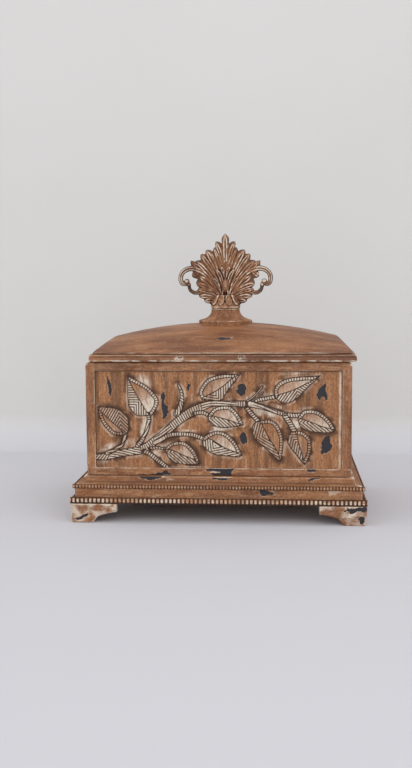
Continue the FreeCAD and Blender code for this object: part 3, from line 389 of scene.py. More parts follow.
def worn_wood(name, tone=0.0, lime_on_crests=1.0, haze=0.25, contrast=1.0, gloss=0.0):
    """Stained wood with lime on its crests, soiling and painted shading in its cuts and hollows, and dark flaked
    patches. tone: lighter above 0.
    haze: lime left in light places of the grain."""
    shades = values("colours")
    finish = Finish(name)
    grain = finish.attribute("grain", "Vector")
    fibres = finish.noise(finish.stretch(grain, *FIBRES), detail=5, roughness=0.65, distortion=0.8)
    streaks = finish.noise(finish.stretch(grain, *STREAKS), detail=3, distortion=0.9)
    clouds = finish.noise(finish.stretch(grain, *CLOUDS), detail=5)
    specks = finish.noise(finish.stretch(grain, *SPECKS), detail=3)

    stain = (0.4 * streaks + 0.6 * clouds + tone).between(0.31, 0.58)
    wood = finish.mix(stain, tuple(shades.wood_dark), tuple(shades.wood_mid))
    light_fibres = fibres.between(0.48, 0.74) * (0.3 + 0.55 * stain) * contrast
    dark_fibres = (1 - fibres.between(0.26, 0.46)) * 0.6 * contrast
    light_specks = specks.between(0.54, 0.7) * 0.3 * contrast
    dark_specks = (1 - specks.between(0.36, 0.5)) * 0.6 * contrast
    dark_streaks = streaks.between(0.56, 0.66) * 0.5 * contrast
    wood = finish.mix(light_fibres, wood, tuple(shades.wood_light))
    wood = finish.mix(dark_fibres, wood, tuple(shades.wood_dark))
    wood = finish.mix(light_specks, wood, tuple(shades.wood_light))
    wood = finish.mix(dark_specks, wood, tuple(shades.wood_dark))
    wood = finish.mix(dark_streaks, wood, tuple(shades.wood_dark))

    crest = finish.attribute("crest") * (0.35 + clouds.between(0.3, 0.6)) * lime_on_crests
    lime = finish.attribute("lime") * (0.55 + 0.45 * fibres.between(0.35, 0.55))
    hazy = clouds.between(0.5, 0.75) * fibres.between(0.4, 0.6) * haze
    limed = crest.top(lime).top(hazy).between(0.0, 1.0) * (0.55 + 0.45 * specks.between(0.3, 0.5))
    # Dirt in the cuts together with painted shade in hollows, gaps and under overhangs, all from the hollow mask.
    dirt_and_shade = (finish.attribute("hollow") * (0.7 + 0.3 * specks)).between(0.05, 0.9)
    flaked = finish.attribute("flake").between(0.35, 0.65)
    skin = finish.mix(limed, wood, tuple(shades.lime))
    skin = finish.mix(dirt_and_shade, skin, tuple(shades.dirt_and_shade))
    skin = finish.mix(finish.attribute("rim") * 0.5, skin, tuple(shades.lime))
    skin = finish.mix(flaked, skin, tuple(shades.char))

    rough = 0.72 - gloss - 0.12 * fibres + 0.1 * limed
    finish.feed(Base_Color=skin, Roughness=rough, Specular_IOR_Level=0.32)
    finish.bump(fibres * 0.5 + specks * 0.3 + clouds * 0.2, 0.35, 0.0006)
    return finish.material


def plain_wood(name):
    """Unstained planed wood, with its grain along X."""
    shades = values("colours")
    finish = Finish(name)
    place = finish.node("ShaderNodeTexCoord", {}, {}, "Object")
    fibres = finish.noise(finish.stretch(place, *PLAIN_FIBRES), detail=4, distortion=0.5)
    rings = finish.noise(finish.stretch(place, *RINGS), detail=3, distortion=1.5)
    wood = finish.mix(rings.between(0.35, 0.65), tuple(shades.wood_mid), tuple(shades.wood_plain))
    wood = finish.mix(fibres.between(0.5, 0.8) * 0.5, wood, tuple(shades.wood_light))
    finish.feed(Base_Color=wood, Roughness=0.8 - 0.1 * fibres, Specular_IOR_Level=0.3)
    finish.bump(fibres, 0.3, 0.0004)
    return finish.material


def screw_steel(name):
    """Dull plated steel."""
    bright = tuple(values("colours").steel)
    dull = tuple(0.6 * c for c in bright)
    finish = Finish(name)
    place = finish.node("ShaderNodeTexCoord", {}, {}, "Object")
    scuffs = finish.noise(finish.stretch(place, *SCUFFS), detail=4)
    steel = finish.mix(scuffs, bright, dull)
    finish.feed(Base_Color=steel, Metallic=1.0, Roughness=0.3 + 0.25 * scuffs)
    return finish.material


FINISHES = {}                 # every material, by its name


def finish(name, make, **settings):
    """The material of that name, made once."""
    if name not in FINISHES:
        FINISHES[name] = make(name, **settings)
    return FINISHES[name]


# ---------------------------------------------------------------- noise and mesh helpers
LATTICE = 32
LATTICE_SEED = 11
LATTICE_VALUES = np.random.RandomState(LATTICE_SEED).rand(LATTICE, LATTICE, LATTICE)
LATTICE_SHIFT = 7.31          # how far each seed moves the points through the lattice, in lumps


def lumps(points, size, seed):
    """Smooth noise from 0 to 1 at each point, with lumps of that size."""
    place = points / size + seed * LATTICE_SHIFT
    base = np.floor(place).astype(int)
    part = place - base
    part = part * part * (3 - 2 * part)
    total = np.zeros(len(points))
    for corner in range(8):
        step = np.array((corner & 1, corner >> 1 & 1, corner >> 2 & 1))
        weight = np.prod(np.where(step, part, 1 - part), axis=1)
        x, y, z = ((base + step) % LATTICE).T
        total += weight * LATTICE_VALUES[x, y, z]
    return total


def layered(points, size, layers, seed):
    """Several layers of lumps, each half the size and weight of the one before."""
    weights = 0.5 ** np.arange(layers)
    total = sum(w * lumps(points, size * w, seed + i) for i, w in enumerate(weights))
    return total / weights.sum()


def ramp(amount, low, high):
    """0 at low, 1 at high and smooth in between."""
    part = np.clip((amount - low) / (high - low), 0, 1)
    return part * part * (3 - 2 * part)


def link(name, mesh):
    piece = bpy.data.objects.new(name, mesh)
    bpy.context.scene.collection.objects.link(piece)
    return piece


def read(mesh, what, field, kind=np.float64, width=3):
    """One field of a mesh's elements, as an array."""
    rows = getattr(mesh, what)
    flat = np.empty(len(rows) * width, kind)
    rows.foreach_get(field, flat)
    return flat.reshape(-1, width)


def write_attribute(mesh, name, array):
    kind = "FLOAT_VECTOR" if array.ndim == 2 else "FLOAT"
    layer = mesh.attributes.new(name, kind, "POINT")
    layer.data.foreach_set("vector" if array.ndim == 2 else "value", array.astype(np.float32).ravel())


WELD = 0.01 * MM              # points of a solid that lie closer are one


def even_mesh(piece, cell):
    """Gives a closed piece an even mesh of small faces."""
    whole = bmesh.new()
    whole.from_mesh(piece.data)
    bmesh.ops.remove_doubles(whole, verts=whole.verts, dist=WELD)
    whole.to_mesh(piece.data)
    whole.free()
    remesh = piece.modifiers.new("even", "REMESH")
    remesh.mode = "VOXEL"
    remesh.voxel_size = cell
    shown = piece.evaluated_get(bpy.context.evaluated_depsgraph_get())
    mesh = bpy.data.meshes.new_from_object(shown)
    piece.modifiers.clear()
    piece.data = mesh
    mesh.materials.clear()


OUTLINE_REACH = 4.0           # how far round an outline the distance to it is measured, mm
FAR_OFF = 99.0                # stands for any place farther off than that, mm


class Surface:
    """The points of an even mesh, with what wear needs to know of them."""

    def __init__(self, piece):
        self.mesh = piece.data
        self.points = read(self.mesh, "vertices", "co")
        self.edges = read(self.mesh, "edges", "vertices", np.int32, 2)
        self.normals = read(self.mesh, "vertex_normals", "vector")
        self.count = np.bincount(self.edges.ravel(), minlength=len(self.points))

    def average(self, field):
        """The mean over each point's neighbours."""
        if field.ndim == 2:
            return np.stack([self.average(column) for column in field.T], axis=1)
        first, second = self.edges.T
        size = len(self.points)
        total = np.bincount(first, field[second], size) + np.bincount(second, field[first], size)
        return total / np.maximum(self.count, 1)

    def smooth(self, passes):
        for _ in range(passes):
            self.points = 0.5 * self.points + 0.5 * self.average(self.points)

    def bend(self, passes):
        """Above 0 on a crest and below 0 in a hollow, spread over a few cells."""
        bend = ((self.points - self.average(self.points)) * self.normals).sum(axis=1)
        for _ in range(passes):
            bend = 0.4 * bend + 0.6 * self.average(bend)
        return bend

    def save(self):
        self.mesh.vertices.foreach_set("co", self.points.astype(np.float32).ravel())
        self.mesh.update()


def outside(points, outlines):
    """How far each place (reach, height) lies outside the nearest outline, below 0 inside it, in mm."""
    far = np.full(len(points), FAR_OFF)
    for outline in outlines:
        closed = np.array([*outline, outline[0]], float)
        low, high = closed.min(axis=0) - OUTLINE_REACH, closed.max(axis=0) + OUTLINE_REACH
        rows = np.nonzero(((points > low) & (points < high)).all(axis=1))[0]
        gap, _, _ = to_line(points[rows], closed)
        far[rows] = np.minimum(far[rows], np.where(inside(points[rows], closed[:-1]), -gap, gap))
    return far


def write_masks(mesh, grain, **masks):
    """Writes the grain's places and the masks of the finish, with 0 for a mask that isn't given."""
    write_attribute(mesh, "grain", grain)
    for name in ("crest", "hollow", "lime", "flake", "rim"):
        given = np.broadcast_to(np.asarray(masks.get(name, 0.0), float), len(grain))
        write_attribute(mesh, name, np.clip(given, 0, 1))


GRAIN_ORDER = {"X": (0, 1, 2), "Y": (1, 0, 2), "Z": (2, 0, 1)}


def grain_places(points, grain):
    """The points with the grain's direction first. A frame's grain turns upright outside its inner width."""
    if grain in GRAIN_ORDER:
        return points[:, GRAIN_ORDER[grain]]
    upright = np.abs(points[:, 0]) > grain
    return np.where(upright[:, None], points[:, GRAIN_ORDER["Z"]], points[:, GRAIN_ORDER["X"]])


CREST_BEND = (0.02, 0.14)     # bend of the surface, in cells, where a crest starts and where it is full
HOLLOW_BEND = (0.02, 0.12)    # the same for a hollow
FLAKE_EDGE = 0.25             # half width of a flaked patch's edge, mm
FRONT_FACING = -0.15          # the normal's part along Y, below which a face looks to the front
# Sizes of the noises: stretches with more or less wear, patches of lime, ragged outlines, planing.
BROKEN_SIZE, PATCHY_SIZE, RAGGED_SIZE, WAVER_SIZE = 9 * MM, 5 * MM, 1.8 * MM, 14 * MM
SEED_SHIFT = np.array((0.13, 0.37, 0.59))     # how far each seed moves the grain, m


def flaking(far, patchy):
    """Flaked share and limed rim, from how far each point lies outside the flaked outlines, in mm."""
    flake = 1 - ramp(far, -FLAKE_EDGE, FLAKE_EDGE)
    rim = np.exp(-np.square(np.maximum(far, 0) / (values("wear").flake_rim / MM))) * (1 - flake)
    return flake, rim * patchy


def wear(piece, grain, seed, crest_gain=1.0, lime=0.0, lines=(), smooth=1, hollow_gain=1.0, even=1.0,
         swell=0.0, sunk=None):
    """Wears a closed, evenly meshed piece and writes the finish's masks.

    grain: the axis that the grain follows, or a frame's inner half width, in metres. lines: (height, half
    width, amount) of lime along the piece, in mm, or of painted shading where the amount is below 0. even: how
    much of the hand-planed unevenness it has. swell: how far the piece was swollen before, in metres. sunk: (place
    along Y, half width) of a middle layer between higher forms, darkened with painted shading.
    """
    worn = values("wear")
    surface = Surface(piece)
    spans = surface.points[surface.edges[:, 0]] - surface.points[surface.edges[:, 1]]
    bend = surface.bend(3) / np.median(np.linalg.norm(spans, axis=1))
    surface.smooth(smooth)
    points = surface.points
    crest = ramp(bend, *CREST_BEND)
    # hollow: dirt and painted shade, darker where the surface bends inwards.
    hollow = ramp(-bend, *HOLLOW_BEND)
    broken = ramp(layered(points, BROKEN_SIZE, 3, seed + 3), 0.35, 0.65)
    patchy = ramp(layered(points, PATCHY_SIZE, 2, seed + 6), 0.3, 0.6)
    ragged = (layered(points, RAGGED_SIZE, 2, seed) - 0.5) * 1.4
    # Painted shade on the sunk middle layer between higher forms.
    if sunk:
        hollow = np.maximum(hollow, 0.6 * ramp(sunk[1] - np.abs(points[:, 1] - sunk[0]), 0, 0.5 * sunk[1]))

    flat = points[:, (0, 2)] / MM
    facing = surface.normals[:, 1] < FRONT_FACING
    far = np.where(facing, outside(flat, FRONT_FLAKES) + ragged, FAR_OFF)
    flake, rim = flaking(far, ramp(lumps(points, 2.5 * MM, seed + 5), 0.35, 0.7))
    lime = lime * broken
    for amount, outline in FRONT_LIME:
        inner = 1 - ramp(outside(flat, (outline,)) + 2 * ragged, -0.5, 1.0)
        lime = np.maximum(lime, amount * inner * facing * (0.5 + 0.5 * patchy))
    # Lines of lime, or lines of painted shade where the amount is below 0.
    for height, half, amount in lines:
        line = np.exp(-np.square((flat[:, 1] - height) / half)) * (surface.normals[:, 2] < 0.8)
        lime = np.maximum(lime, amount * line * patchy)
        hollow = np.maximum(hollow, -amount * line * (0.5 + 0.5 * patchy))

    inward = crest * (0.35 + broken) * worn.nibble
    inward += layered(points, WAVER_SIZE, 3, seed) * worn.waver * even
    inward += flake * worn.flake_depth + swell
    surface.points = points - surface.normals * inward[:, None]
    surface.save()
    write_masks(surface.mesh, grain_places(surface.points, grain) + SEED_SHIFT * (seed + 1),
                crest=crest * (0.3 + broken) * crest_gain, hollow=hollow * hollow_gain, lime=lime, flake=flake,
                rim=rim)
    surface.mesh.shade_smooth()


def dress(piece, nodes, material):
    """Puts a finished piece in the place of its nodes."""
    piece.data.materials.append(material)
    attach(piece, "lid" if nodes[0] in LID_NODES else "case")
    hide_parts(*nodes)


def worn_copy(node, cell, grain, material, **settings):
    """A worn, finely meshed copy of a node, in its place."""
    piece = link(node + "_wood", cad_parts[node].data.copy())
    even_mesh(piece, cell)
    wear(piece, grain, **settings)
    dress(piece, (node,), material)


SWELL = 0.15 * MM             # how far glued pieces are swollen, so that they meet
# Lime, or painted shade below 0, along the front frame and the lid's rim: height, half width, amount. The frame's
# wide dark band is painted shadow under the lid's rim, and the rim's dark line is painted shade.
FRAME_LINES = ((159.5, 3.5, -0.35), (162.4, 0.6, 0.35), (154.2, 0.7, 0.3), (54.4, 0.8, 0.5))
RIM_LINES = ((168.4, 0.7, -0.7), (164.1, 1.0, 1.0), (169.8, 0.8, 0.4))
LID_NODES = {n for side in SIDES for n in (side + "_lid_rim", side + "_lid_lip")}
LID_NODES |= {"lid_dome", "finial_base", "finial_leaf", "finial_screw"}


def worn_join(name, nodes, cell, grain, material, **settings):
    """Several glued nodes as one worn piece without joint lines."""
    whole = bmesh.new()
    for node in nodes:
        part = bmesh.new()
        part.from_mesh(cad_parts[node].data)
        bmesh.ops.remove_doubles(part, verts=part.verts, dist=WELD)
        part.normal_update()
        for corner in part.verts:
            corner.co += corner.normal * SWELL
        swollen = bpy.data.meshes.new(node)
        part.to_mesh(swollen)
        part.free()
        whole.from_mesh(swollen)
        bpy.data.meshes.remove(swollen)
    mesh = bpy.data.meshes.new(name)
    whole.to_mesh(mesh)
    whole.free()
    piece = link(name, mesh)
    even_mesh(piece, cell)
    wear(piece, grain, swell=SWELL, **settings)
    dress(piece, nodes, material)


# ---------------------------------------------------------------- case
def limed_wood():
    """The finish of the case."""
    return finish("limed_wood", worn_wood, tone=-0.01)


def case_frame():
    """Posts, sills, top rails and the plain panels."""
    worn = values("wear")
    wood = limed_wood()
    front = ("front_sill", "front_top_rail", "front_left_post", "front_right_post")
    inner_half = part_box("front_top_rail")[1][0]
    worn_join("front_frame_wood", front, worn.cell, inner_half, wood, seed=4, lime=0.15, lines=FRAME_LINES)
    for index, side in enumerate(SIDES[1:]):
        along = "X" if side == "back" else "Y"
        worn_copy(side + "_sill", worn.rough_cell, along, wood, seed=2 + index, lime=0.1)
        worn_copy(side + "_top_rail", worn.rough_cell, along, wood, seed=10 + index, lime=0.05)
        worn_copy(side + "_panel", worn.rough_cell, along, wood, seed=20 + index, lime=0.12)
    for index, post in enumerate(("back_left_post", "back_right_post")):
        worn_copy(post, worn.rough_cell, "Z", wood, seed=30 + index, lime=0.05)


def plinth():
    """Plinth rails and bracket feet."""
    worn = values("wear")
    wood = limed_wood()
    for index, side in enumerate(SIDES):
        cell = worn.cell if side == "front" else worn.rough_cell
        along = "X" if side in ("front", "back") else "Y"
        worn_copy(side + "_plinth_rail", cell, along, wood, seed=40 + index, lime=0.12)
    for index, foot in enumerate(f + s for f in ("front_", "back_") for s in ("left", "right")):
        cell = worn.cell if foot.startswith("front") else worn.rough_cell
        worn_copy(foot + "_foot", cell, "X", wood, seed=50 + index, lime=0.75)


def board_mesh(name, x, z, front, back):
    """A closed board: a gridded front face at depth `front`, flat sides and a flat back."""
    rows, columns = x.shape
    index = np.arange(rows * columns).reshape(rows, columns)
    quads = np.stack([index[:-1, :-1], index[:-1, 1:], index[1:, 1:], index[1:, :-1]], axis=-1).reshape(-1, 4)
    border = np.concatenate([index[0, :-1], index[:-1, -1], index[-1, :0:-1], index[:0:-1, 0]])
    start = rows * columns
    rim = start + np.arange(len(border))
    sides = np.stack([np.roll(border, -1), border, rim, np.roll(rim, -1)], axis=-1)
    face = np.stack([x.ravel(), front.ravel(), z.ravel()], axis=1)
    behind = face[border].copy()
    behind[:, 1] = back
    mesh = bpy.data.meshes.new(name)
    faces = [*quads.tolist(), *sides.tolist(), rim.tolist()[::-1]]
    mesh.from_pydata(np.vstack([face, behind]).tolist(), [], faces)
    return mesh


TOOTH_UNEVEN = 0.14           # how much a tooth's width varies
TOOTH_LUMPS, TOOTH_PATCHES, TOOTH_CHIPS = 7 * MM, 11 * MM, 1.6 * MM    # sizes of its noises
# Rows of teeth. pitch: from one to the next. width: a tooth's share of the pitch. foot: height of the
# teeth's lower ends above the strip's. depth: how far they stand out. tall: straight part of a tooth, as a
# share of its height. lime: how much lies on their crowns.
BEADS = dict(pitch=3.25 * MM, width=0.86, foot=0.0, depth=1.7 * MM, tall=0.0, lime=0.6)
RIBS = dict(pitch=4.3 * MM, width=0.76, foot=1.1 * MM, depth=2.0 * MM, tall=0.45, lime=1.5)


def toothed_strip(node, turn, seed, pitch, width, foot, depth, tall, lime):
    """A strip with a row of rounded teeth on its outer face. turn: quarter turns from the front."""
    step = values("wear").tooth_cell
    low, high = (np.array(corner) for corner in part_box(node))
    axis = turn % 2
    half = (high - low)[axis] / 2
    near, far = sorted((abs(low[1 - axis]), abs(high[1 - axis])))
    half -= (far - near) if axis else 0.0
    reach = np.linspace(-half, half, round(2 * half / step) + 1)
    rise = np.linspace(low[2], high[2], round((high[2] - low[2]) / step) + 1)
    x, z = np.meshgrid(reach, rise)
    uneven = lumps(np.stack([x.ravel(), 0 * x.ravel(), 0 * x.ravel()], axis=1), TOOTH_LUMPS, seed).reshape(x.shape)
    across = np.abs(x / pitch - np.round(x / pitch)) * 2 / (width + TOOTH_UNEVEN * uneven)
    up = np.abs((z - low[2] - foot) / (high[2] - low[2] - foot) * 2 - 1)
    ends = np.maximum(up - tall, 0) / (1 - tall)
    crown = np.sqrt(np.clip(1 - across**2 - ends**2, 0, 1))
    below = z < low[2] + foot
    front = -far + depth * (1 - np.where(below, 0, crown))
    name = node + "_wood"
    piece = link(name, board_mesh(name, x, z, front, -near))

    points = read(piece.data, "vertices", "co")
    crown = np.concatenate([crown.ravel(), np.zeros(len(points) - x.size)])
    patchy = ramp(layered(points, TOOTH_PATCHES, 3, seed), 0.3, 0.62)
    chips = ramp(lumps(points, TOOTH_CHIPS, seed + 1), 0.2, 0.55)
    worn_low = 1.1 - 0.6 * np.clip((points[:, 2] - low[2]) / (high[2] - low[2]), 0, 1)
    crowned = ramp(crown, 0.6, 0.95)
    # hollow: dirt and painted shade between the teeth, darker where their crowns fall away.
    write_masks(piece.data, points + np.array((0.3, 0.5, 0.7)) * (seed + 1),
                hollow=ramp(1 - crown, 0.3, 0.75) * 0.9,
                lime=lime * worn_low * crowned * (0.45 + 0.55 * patchy) * (0.5 + 0.5 * chips))
    piece.data.transform(Matrix.Rotation(math.pi / 2 * turn, 4, "Z"))
    piece.data.shade_smooth()
    dress(piece, (node,), finish("limed_moulding", worn_wood, tone=0.0, haze=0.3))


def mouldings():
    """The row of beads and the row of ribs."""
    for turn, side in enumerate(SIDES):
        toothed_strip(side + "_bead_strip", turn, 60 + turn, **BEADS)
        toothed_strip(side + "_rib_strip", turn, 70 + turn, **RIBS)


# ---------------------------------------------------------------- carved panel
def curve_through(points, steps=10):
    """A smooth line through the points."""
    points = np.array(points, float)
    padded = np.vstack([2 * points[0] - points[1], points, 2 * points[-1] - points[-2]])
    part = np.linspace(0, 1, steps, endpoint=False)[:, None]
    rows = []
    for before, start, end, after in zip(padded, padded[1:], padded[2:], padded[3:]):
        rows.append(0.5 * (2 * start + (end - before) * part + (2 * before - 5 * start + 4 * end - after) * part**2
                           + (3 * start - before - 3 * end + after) * part**3))
    return np.vstack([*rows, points[-1:]])


def to_line(points, line):
    """Distance to a line of points, the run along it to the nearest place, and the side (+ left of it)."""
    starts, ends = line[:-1], line[1:]
    spans = ends - starts
    lengths = np.linalg.norm(spans, axis=1)
    before = np.concatenate([[0], np.cumsum(lengths)[:-1]])
    best = np.full(len(points), 1e9)
    run = np.zeros(len(points))
    side = np.zeros(len(points))
    for start, span, size, offset in zip(starts, spans, lengths, before):
        if size < 1e-9:
            continue
        local = points - start
        part = np.clip(local @ span / size**2, 0, 1)
        gap = np.linalg.norm(local - part[:, None] * span, axis=1)
        nearer = gap < best - 1e-9
        best = np.where(nearer, gap, best)
        run = np.where(nearer, offset + part * size, run)
        side = np.where(nearer, np.sign(span[0] * local[:, 1] - span[1] * local[:, 0]), side)
    return best, run, side


def inside(points, outline):
    """Which points lie inside a closed outline."""
    found = np.zeros(len(points), bool)
    x, z = points.T
    for (x0, z0), (x1, z1) in zip(outline, np.roll(outline, -1, axis=0)):
        if z0 == z1:
            continue
        crosses = (z0 > z) != (z1 > z)
        found ^= crosses & (x < (x1 - x0) * (z - z0) / (z1 - z0) + x0)
    return found


CARVED_MARGIN = 6             # how far round a carved form its cuts and its gap are worked out, mm


class Relief:
    """The carved face: height above the ground, cuts and lime at each point, in mm."""

    def __init__(self, points):
        carving = values("carving")
        self.points = points
        self.height = np.zeros(len(points))
        self.cut = np.zeros(len(points))
        self.lime = np.zeros(len(points))
        self.raised = np.zeros(len(points), bool)
        self.gap = np.full(len(points), FAR_OFF)
        self.relief = carving.relief / MM
        self.cut_half = carving.cut_half / MM

    def near(self, line, margin):
        low, high = line.min(axis=0) - margin, line.max(axis=0) + margin
        return np.nonzero(((self.points > low) & (self.points < high)).all(axis=1))[0]

    def groove(self, gap, half=1.0):
        """1 in the middle of a cut and 0 at its edges."""
        return 1 - ramp(gap, 0, self.cut_half * half)

    def stripes(self, along):
        """Cuts at every pitch along a run."""
        pitch = values("carving").stripe_pitch / MM
        phase = np.abs(along / pitch - np.round(along / pitch)) * pitch
        return self.groove(phase, 0.95)

    def lay(self, rows, cover, gap, height, cut, lime):
        """Puts a carved form over what is already there. cover says where it lies, gap how far off it is."""
        chosen = rows[cover]
        self.height[chosen] = height[cover]
        self.cut[chosen] = cut[cover]
        self.lime[chosen] = lime[cover]
        self.raised[chosen] = True
        beside = rows[~cover]
        self.gap[beside] = np.minimum(self.gap[beside], gap[~cover])
        self.cut[beside] = np.maximum(self.cut[beside], cut[~cover])

    def stem(self, points, widths, cuts):
        line = curve_through(points)
        rows = self.near(line, max(widths) / 2 + CARVED_MARGIN)
        gap, run, side = to_line(self.points[rows], line)
        total = np.linalg.norm(np.diff(line, axis=0), axis=1).sum()
        half = np.interp(run / total, np.linspace(0, 1, len(widths)), widths) / 2
        across = gap * side
        cut = self.groove(np.abs(gap - half))
        stripes = np.zeros(len(rows))
        for start, end, slant in cuts:
            angle = math.radians(slant)
            chosen = (run >= start * total) & (run <= end * total)
            stripes[chosen] = self.stripes(run * math.cos(angle) + across * math.sin(angle))[chosen]
        cover = gap < half
        cut = np.maximum(cut, stripes * cover)
        rounded = np.sqrt(np.clip(1 - (gap / np.maximum(half, 0.1)) ** 2, 0, 1))
        self.lay(rows, cover, gap - half, self.relief * (0.55 + 0.45 * rounded), cut, np.full(len(rows), 0.85))

    def leaf(self, base, tip, banded, striped, rib, stripes, lens, lime):
        carving = values("carving")
        outer = curve_through((base, *banded, tip))
        inner = curve_through((base, *striped, tip))
        middle = curve_through((base, *rib, tip))
        rows = self.near(np.vstack([outer, inner]), CARVED_MARGIN)
        points = self.points[rows]
        to_outer, run, _ = to_line(points, outer)
        to_inner, _, _ = to_line(points, inner)
        to_rib, _, _ = to_line(points, middle)
        cover = inside(points, np.vstack([outer, inner[::-1]]))
        smooth_half = inside(points, np.vstack([outer, middle[::-1]]))
        edge = np.minimum(to_outer, to_inner)

        band = carving.band / MM
        in_band = smooth_half & (to_outer < band)
        pitch = carving.block_pitch / MM
        phase = np.abs(run / pitch - np.round(run / pitch)) * pitch
        cut = self.groove(edge)
        cut = np.maximum(cut, np.where(cover, self.groove(to_rib, 0.9), 0))
        cut = np.maximum(cut, np.where(smooth_half, self.groove(np.abs(to_outer - band), 0.9), 0))
        cut = np.maximum(cut, np.where(in_band, self.groove(phase, 0.85) * ramp(to_outer, 0.3, 0.9), 0))
        corner, facings = stripes
        away = points - np.array(corner)
        ways = [away @ (math.cos(math.radians(f)), math.sin(math.radians(f))) for f in facings]
        across = self.stripes(np.min(ways, axis=0)) * ramp(to_inner, 0.4, 1.0)
        cut = np.maximum(cut, np.where(cover & ~smooth_half, across, 0))

        height = self.relief * (0.5 + 0.5 * ramp(edge, 0, 1.6))
        hollow = smooth_half & ~in_band
        depth = np.minimum(to_outer - band, to_rib)
        height = np.where(hollow, height - 0.6 * self.relief * ramp(depth, 0.2, 4), height)
        centre = (outer.mean(axis=0) + inner.mean(axis=0)) / 2
        # Painted light and shade in the lens hollow: its lime grows towards the lower right on every leaf.
        painted_light_slope = np.clip(0.5 + (points - centre) @ (0.7, -0.7) / 30, 0, 1)
        self.lay(rows, cover, edge, height, cut, np.where(hollow, lens * (0.1 + 1.05 * painted_light_slope), lime))


HIDDEN_EDGE = 2.2 * MM        # plain border of the panel, past the frame's edge
PANEL_LIP = 0.2 * MM          # part of it that shows
# Painted shade along the panel's left, right and upper edges, where the frame meets it, its half width in mm, and the
# lime beside the right one:
# amount, middle and half width in mm.
EDGE_SHADE = (0.7, 0.3, 0.6)
EDGE_SHADE_HALF = 1.1
PALE_EDGE = (0.95, 2.0, 1.2)
# The panel's noises: how they are drawn out upwards, and their sizes.
STROKE_SHAPE, STROKE_SIZE = (1, 1, 0.18), 2.2 * MM
BAND_SHAPE, BAND_SIZE = (1, 1, 0.1), 6 * MM


def panel_grid(low, high, step):
    """Points of the carved face, row by row."""
    across = max(2, round((high[0] - low[0]) / step))
    upward = max(2, round((high[2] - low[2]) / step))
    x, z = np.meshgrid(np.linspace(low[0], high[0], across + 1), np.linspace(low[2], high[2], upward + 1))
    return x, z


def limed_ground(flat, strokes, gap):
    """Lime on the ground beside the carving. gap: how far the carving is, in mm."""
    share = np.zeros(len(flat))
    for cx, cz, half_length, half_width, turn, amount in LIMED_GROUND:
        angle = math.radians(turn)
        dx, dz = (flat - (cx, cz)).T
        along = (dx * math.cos(angle) + dz * math.sin(angle)) / half_length
        across = (dz * math.cos(angle) - dx * math.sin(angle)) / half_width
        reach = np.hypot(along, across) + 0.5 * (strokes - 0.5)
        share = np.maximum(share, amount * (1 - ramp(reach, 0.3, 1.2)))
    return share * (0.5 + np.exp(-np.square(gap / 5))) * (0.5 + 0.5 * ramp(strokes, 0.3, 0.6))


def panel_masks(relief, place, low, high):
    """Lime, soiling and painted shading of the carved face, and the strokes of the tool that flattened its ground."""
    flat, gap, ground = relief.points, relief.gap, ~relief.raised
    strokes = layered(place * STROKE_SHAPE, STROKE_SIZE, 2, seed=4)
    bands = layered(place * BAND_SHAPE, BAND_SIZE, 3, seed=12)
    rubbed = ramp(layered(place, BROKEN_SIZE, 3, seed=6), 0.38, 0.6)
    smears = limed_ground(flat, strokes, gap)
    halo = np.exp(-np.square((gap - 1.6) / 1.8)) * rubbed * (0.2 + 0.5 * strokes)

    # Painted shade on the ground beside the carving and along the panel's edges, and dark streaks in the wood.
    shade_and_streaks = np.exp(-np.square(gap / 6)) * (1 - rubbed) * 0.85 * (1 - smears.clip(0, 1))
    inset = (HIDDEN_EDGE - PANEL_LIP) / MM
    left, right, above = (flat[:, 0] - low[0] / MM, high[0] / MM - flat[:, 0], high[2] / MM - flat[:, 1])
    for off, amount in zip((left, right, above), EDGE_SHADE):
        shade_and_streaks = np.maximum(shade_and_streaks, amount * np.exp(-np.square((off - inset) / EDGE_SHADE_HALF)))
    shade_and_streaks = np.maximum(shade_and_streaks, 0.5 * ramp(bands, 0.46, 0.68))
    amount, middle, half = PALE_EDGE
    pale = amount * np.exp(-np.square((right - inset - middle) / half)) * (0.6 + 0.4 * ramp(strokes, 0.25, 0.55))

    ground_lime = np.maximum(np.maximum(smears, halo), pale)
    lime = np.where(ground, ground_lime, relief.lime * (0.8 + 0.35 * rubbed))
    # Dirt and painted shade in the cuts, stronger on the raised carving, and the ground's painted shade and streaks.
    dirt_and_painted_shade = np.maximum(relief.cut * np.where(relief.raised, 2.3, 1.2), np.where(ground, shade_and_streaks, 0))
    return lime, dirt_and_painted_shade, strokes


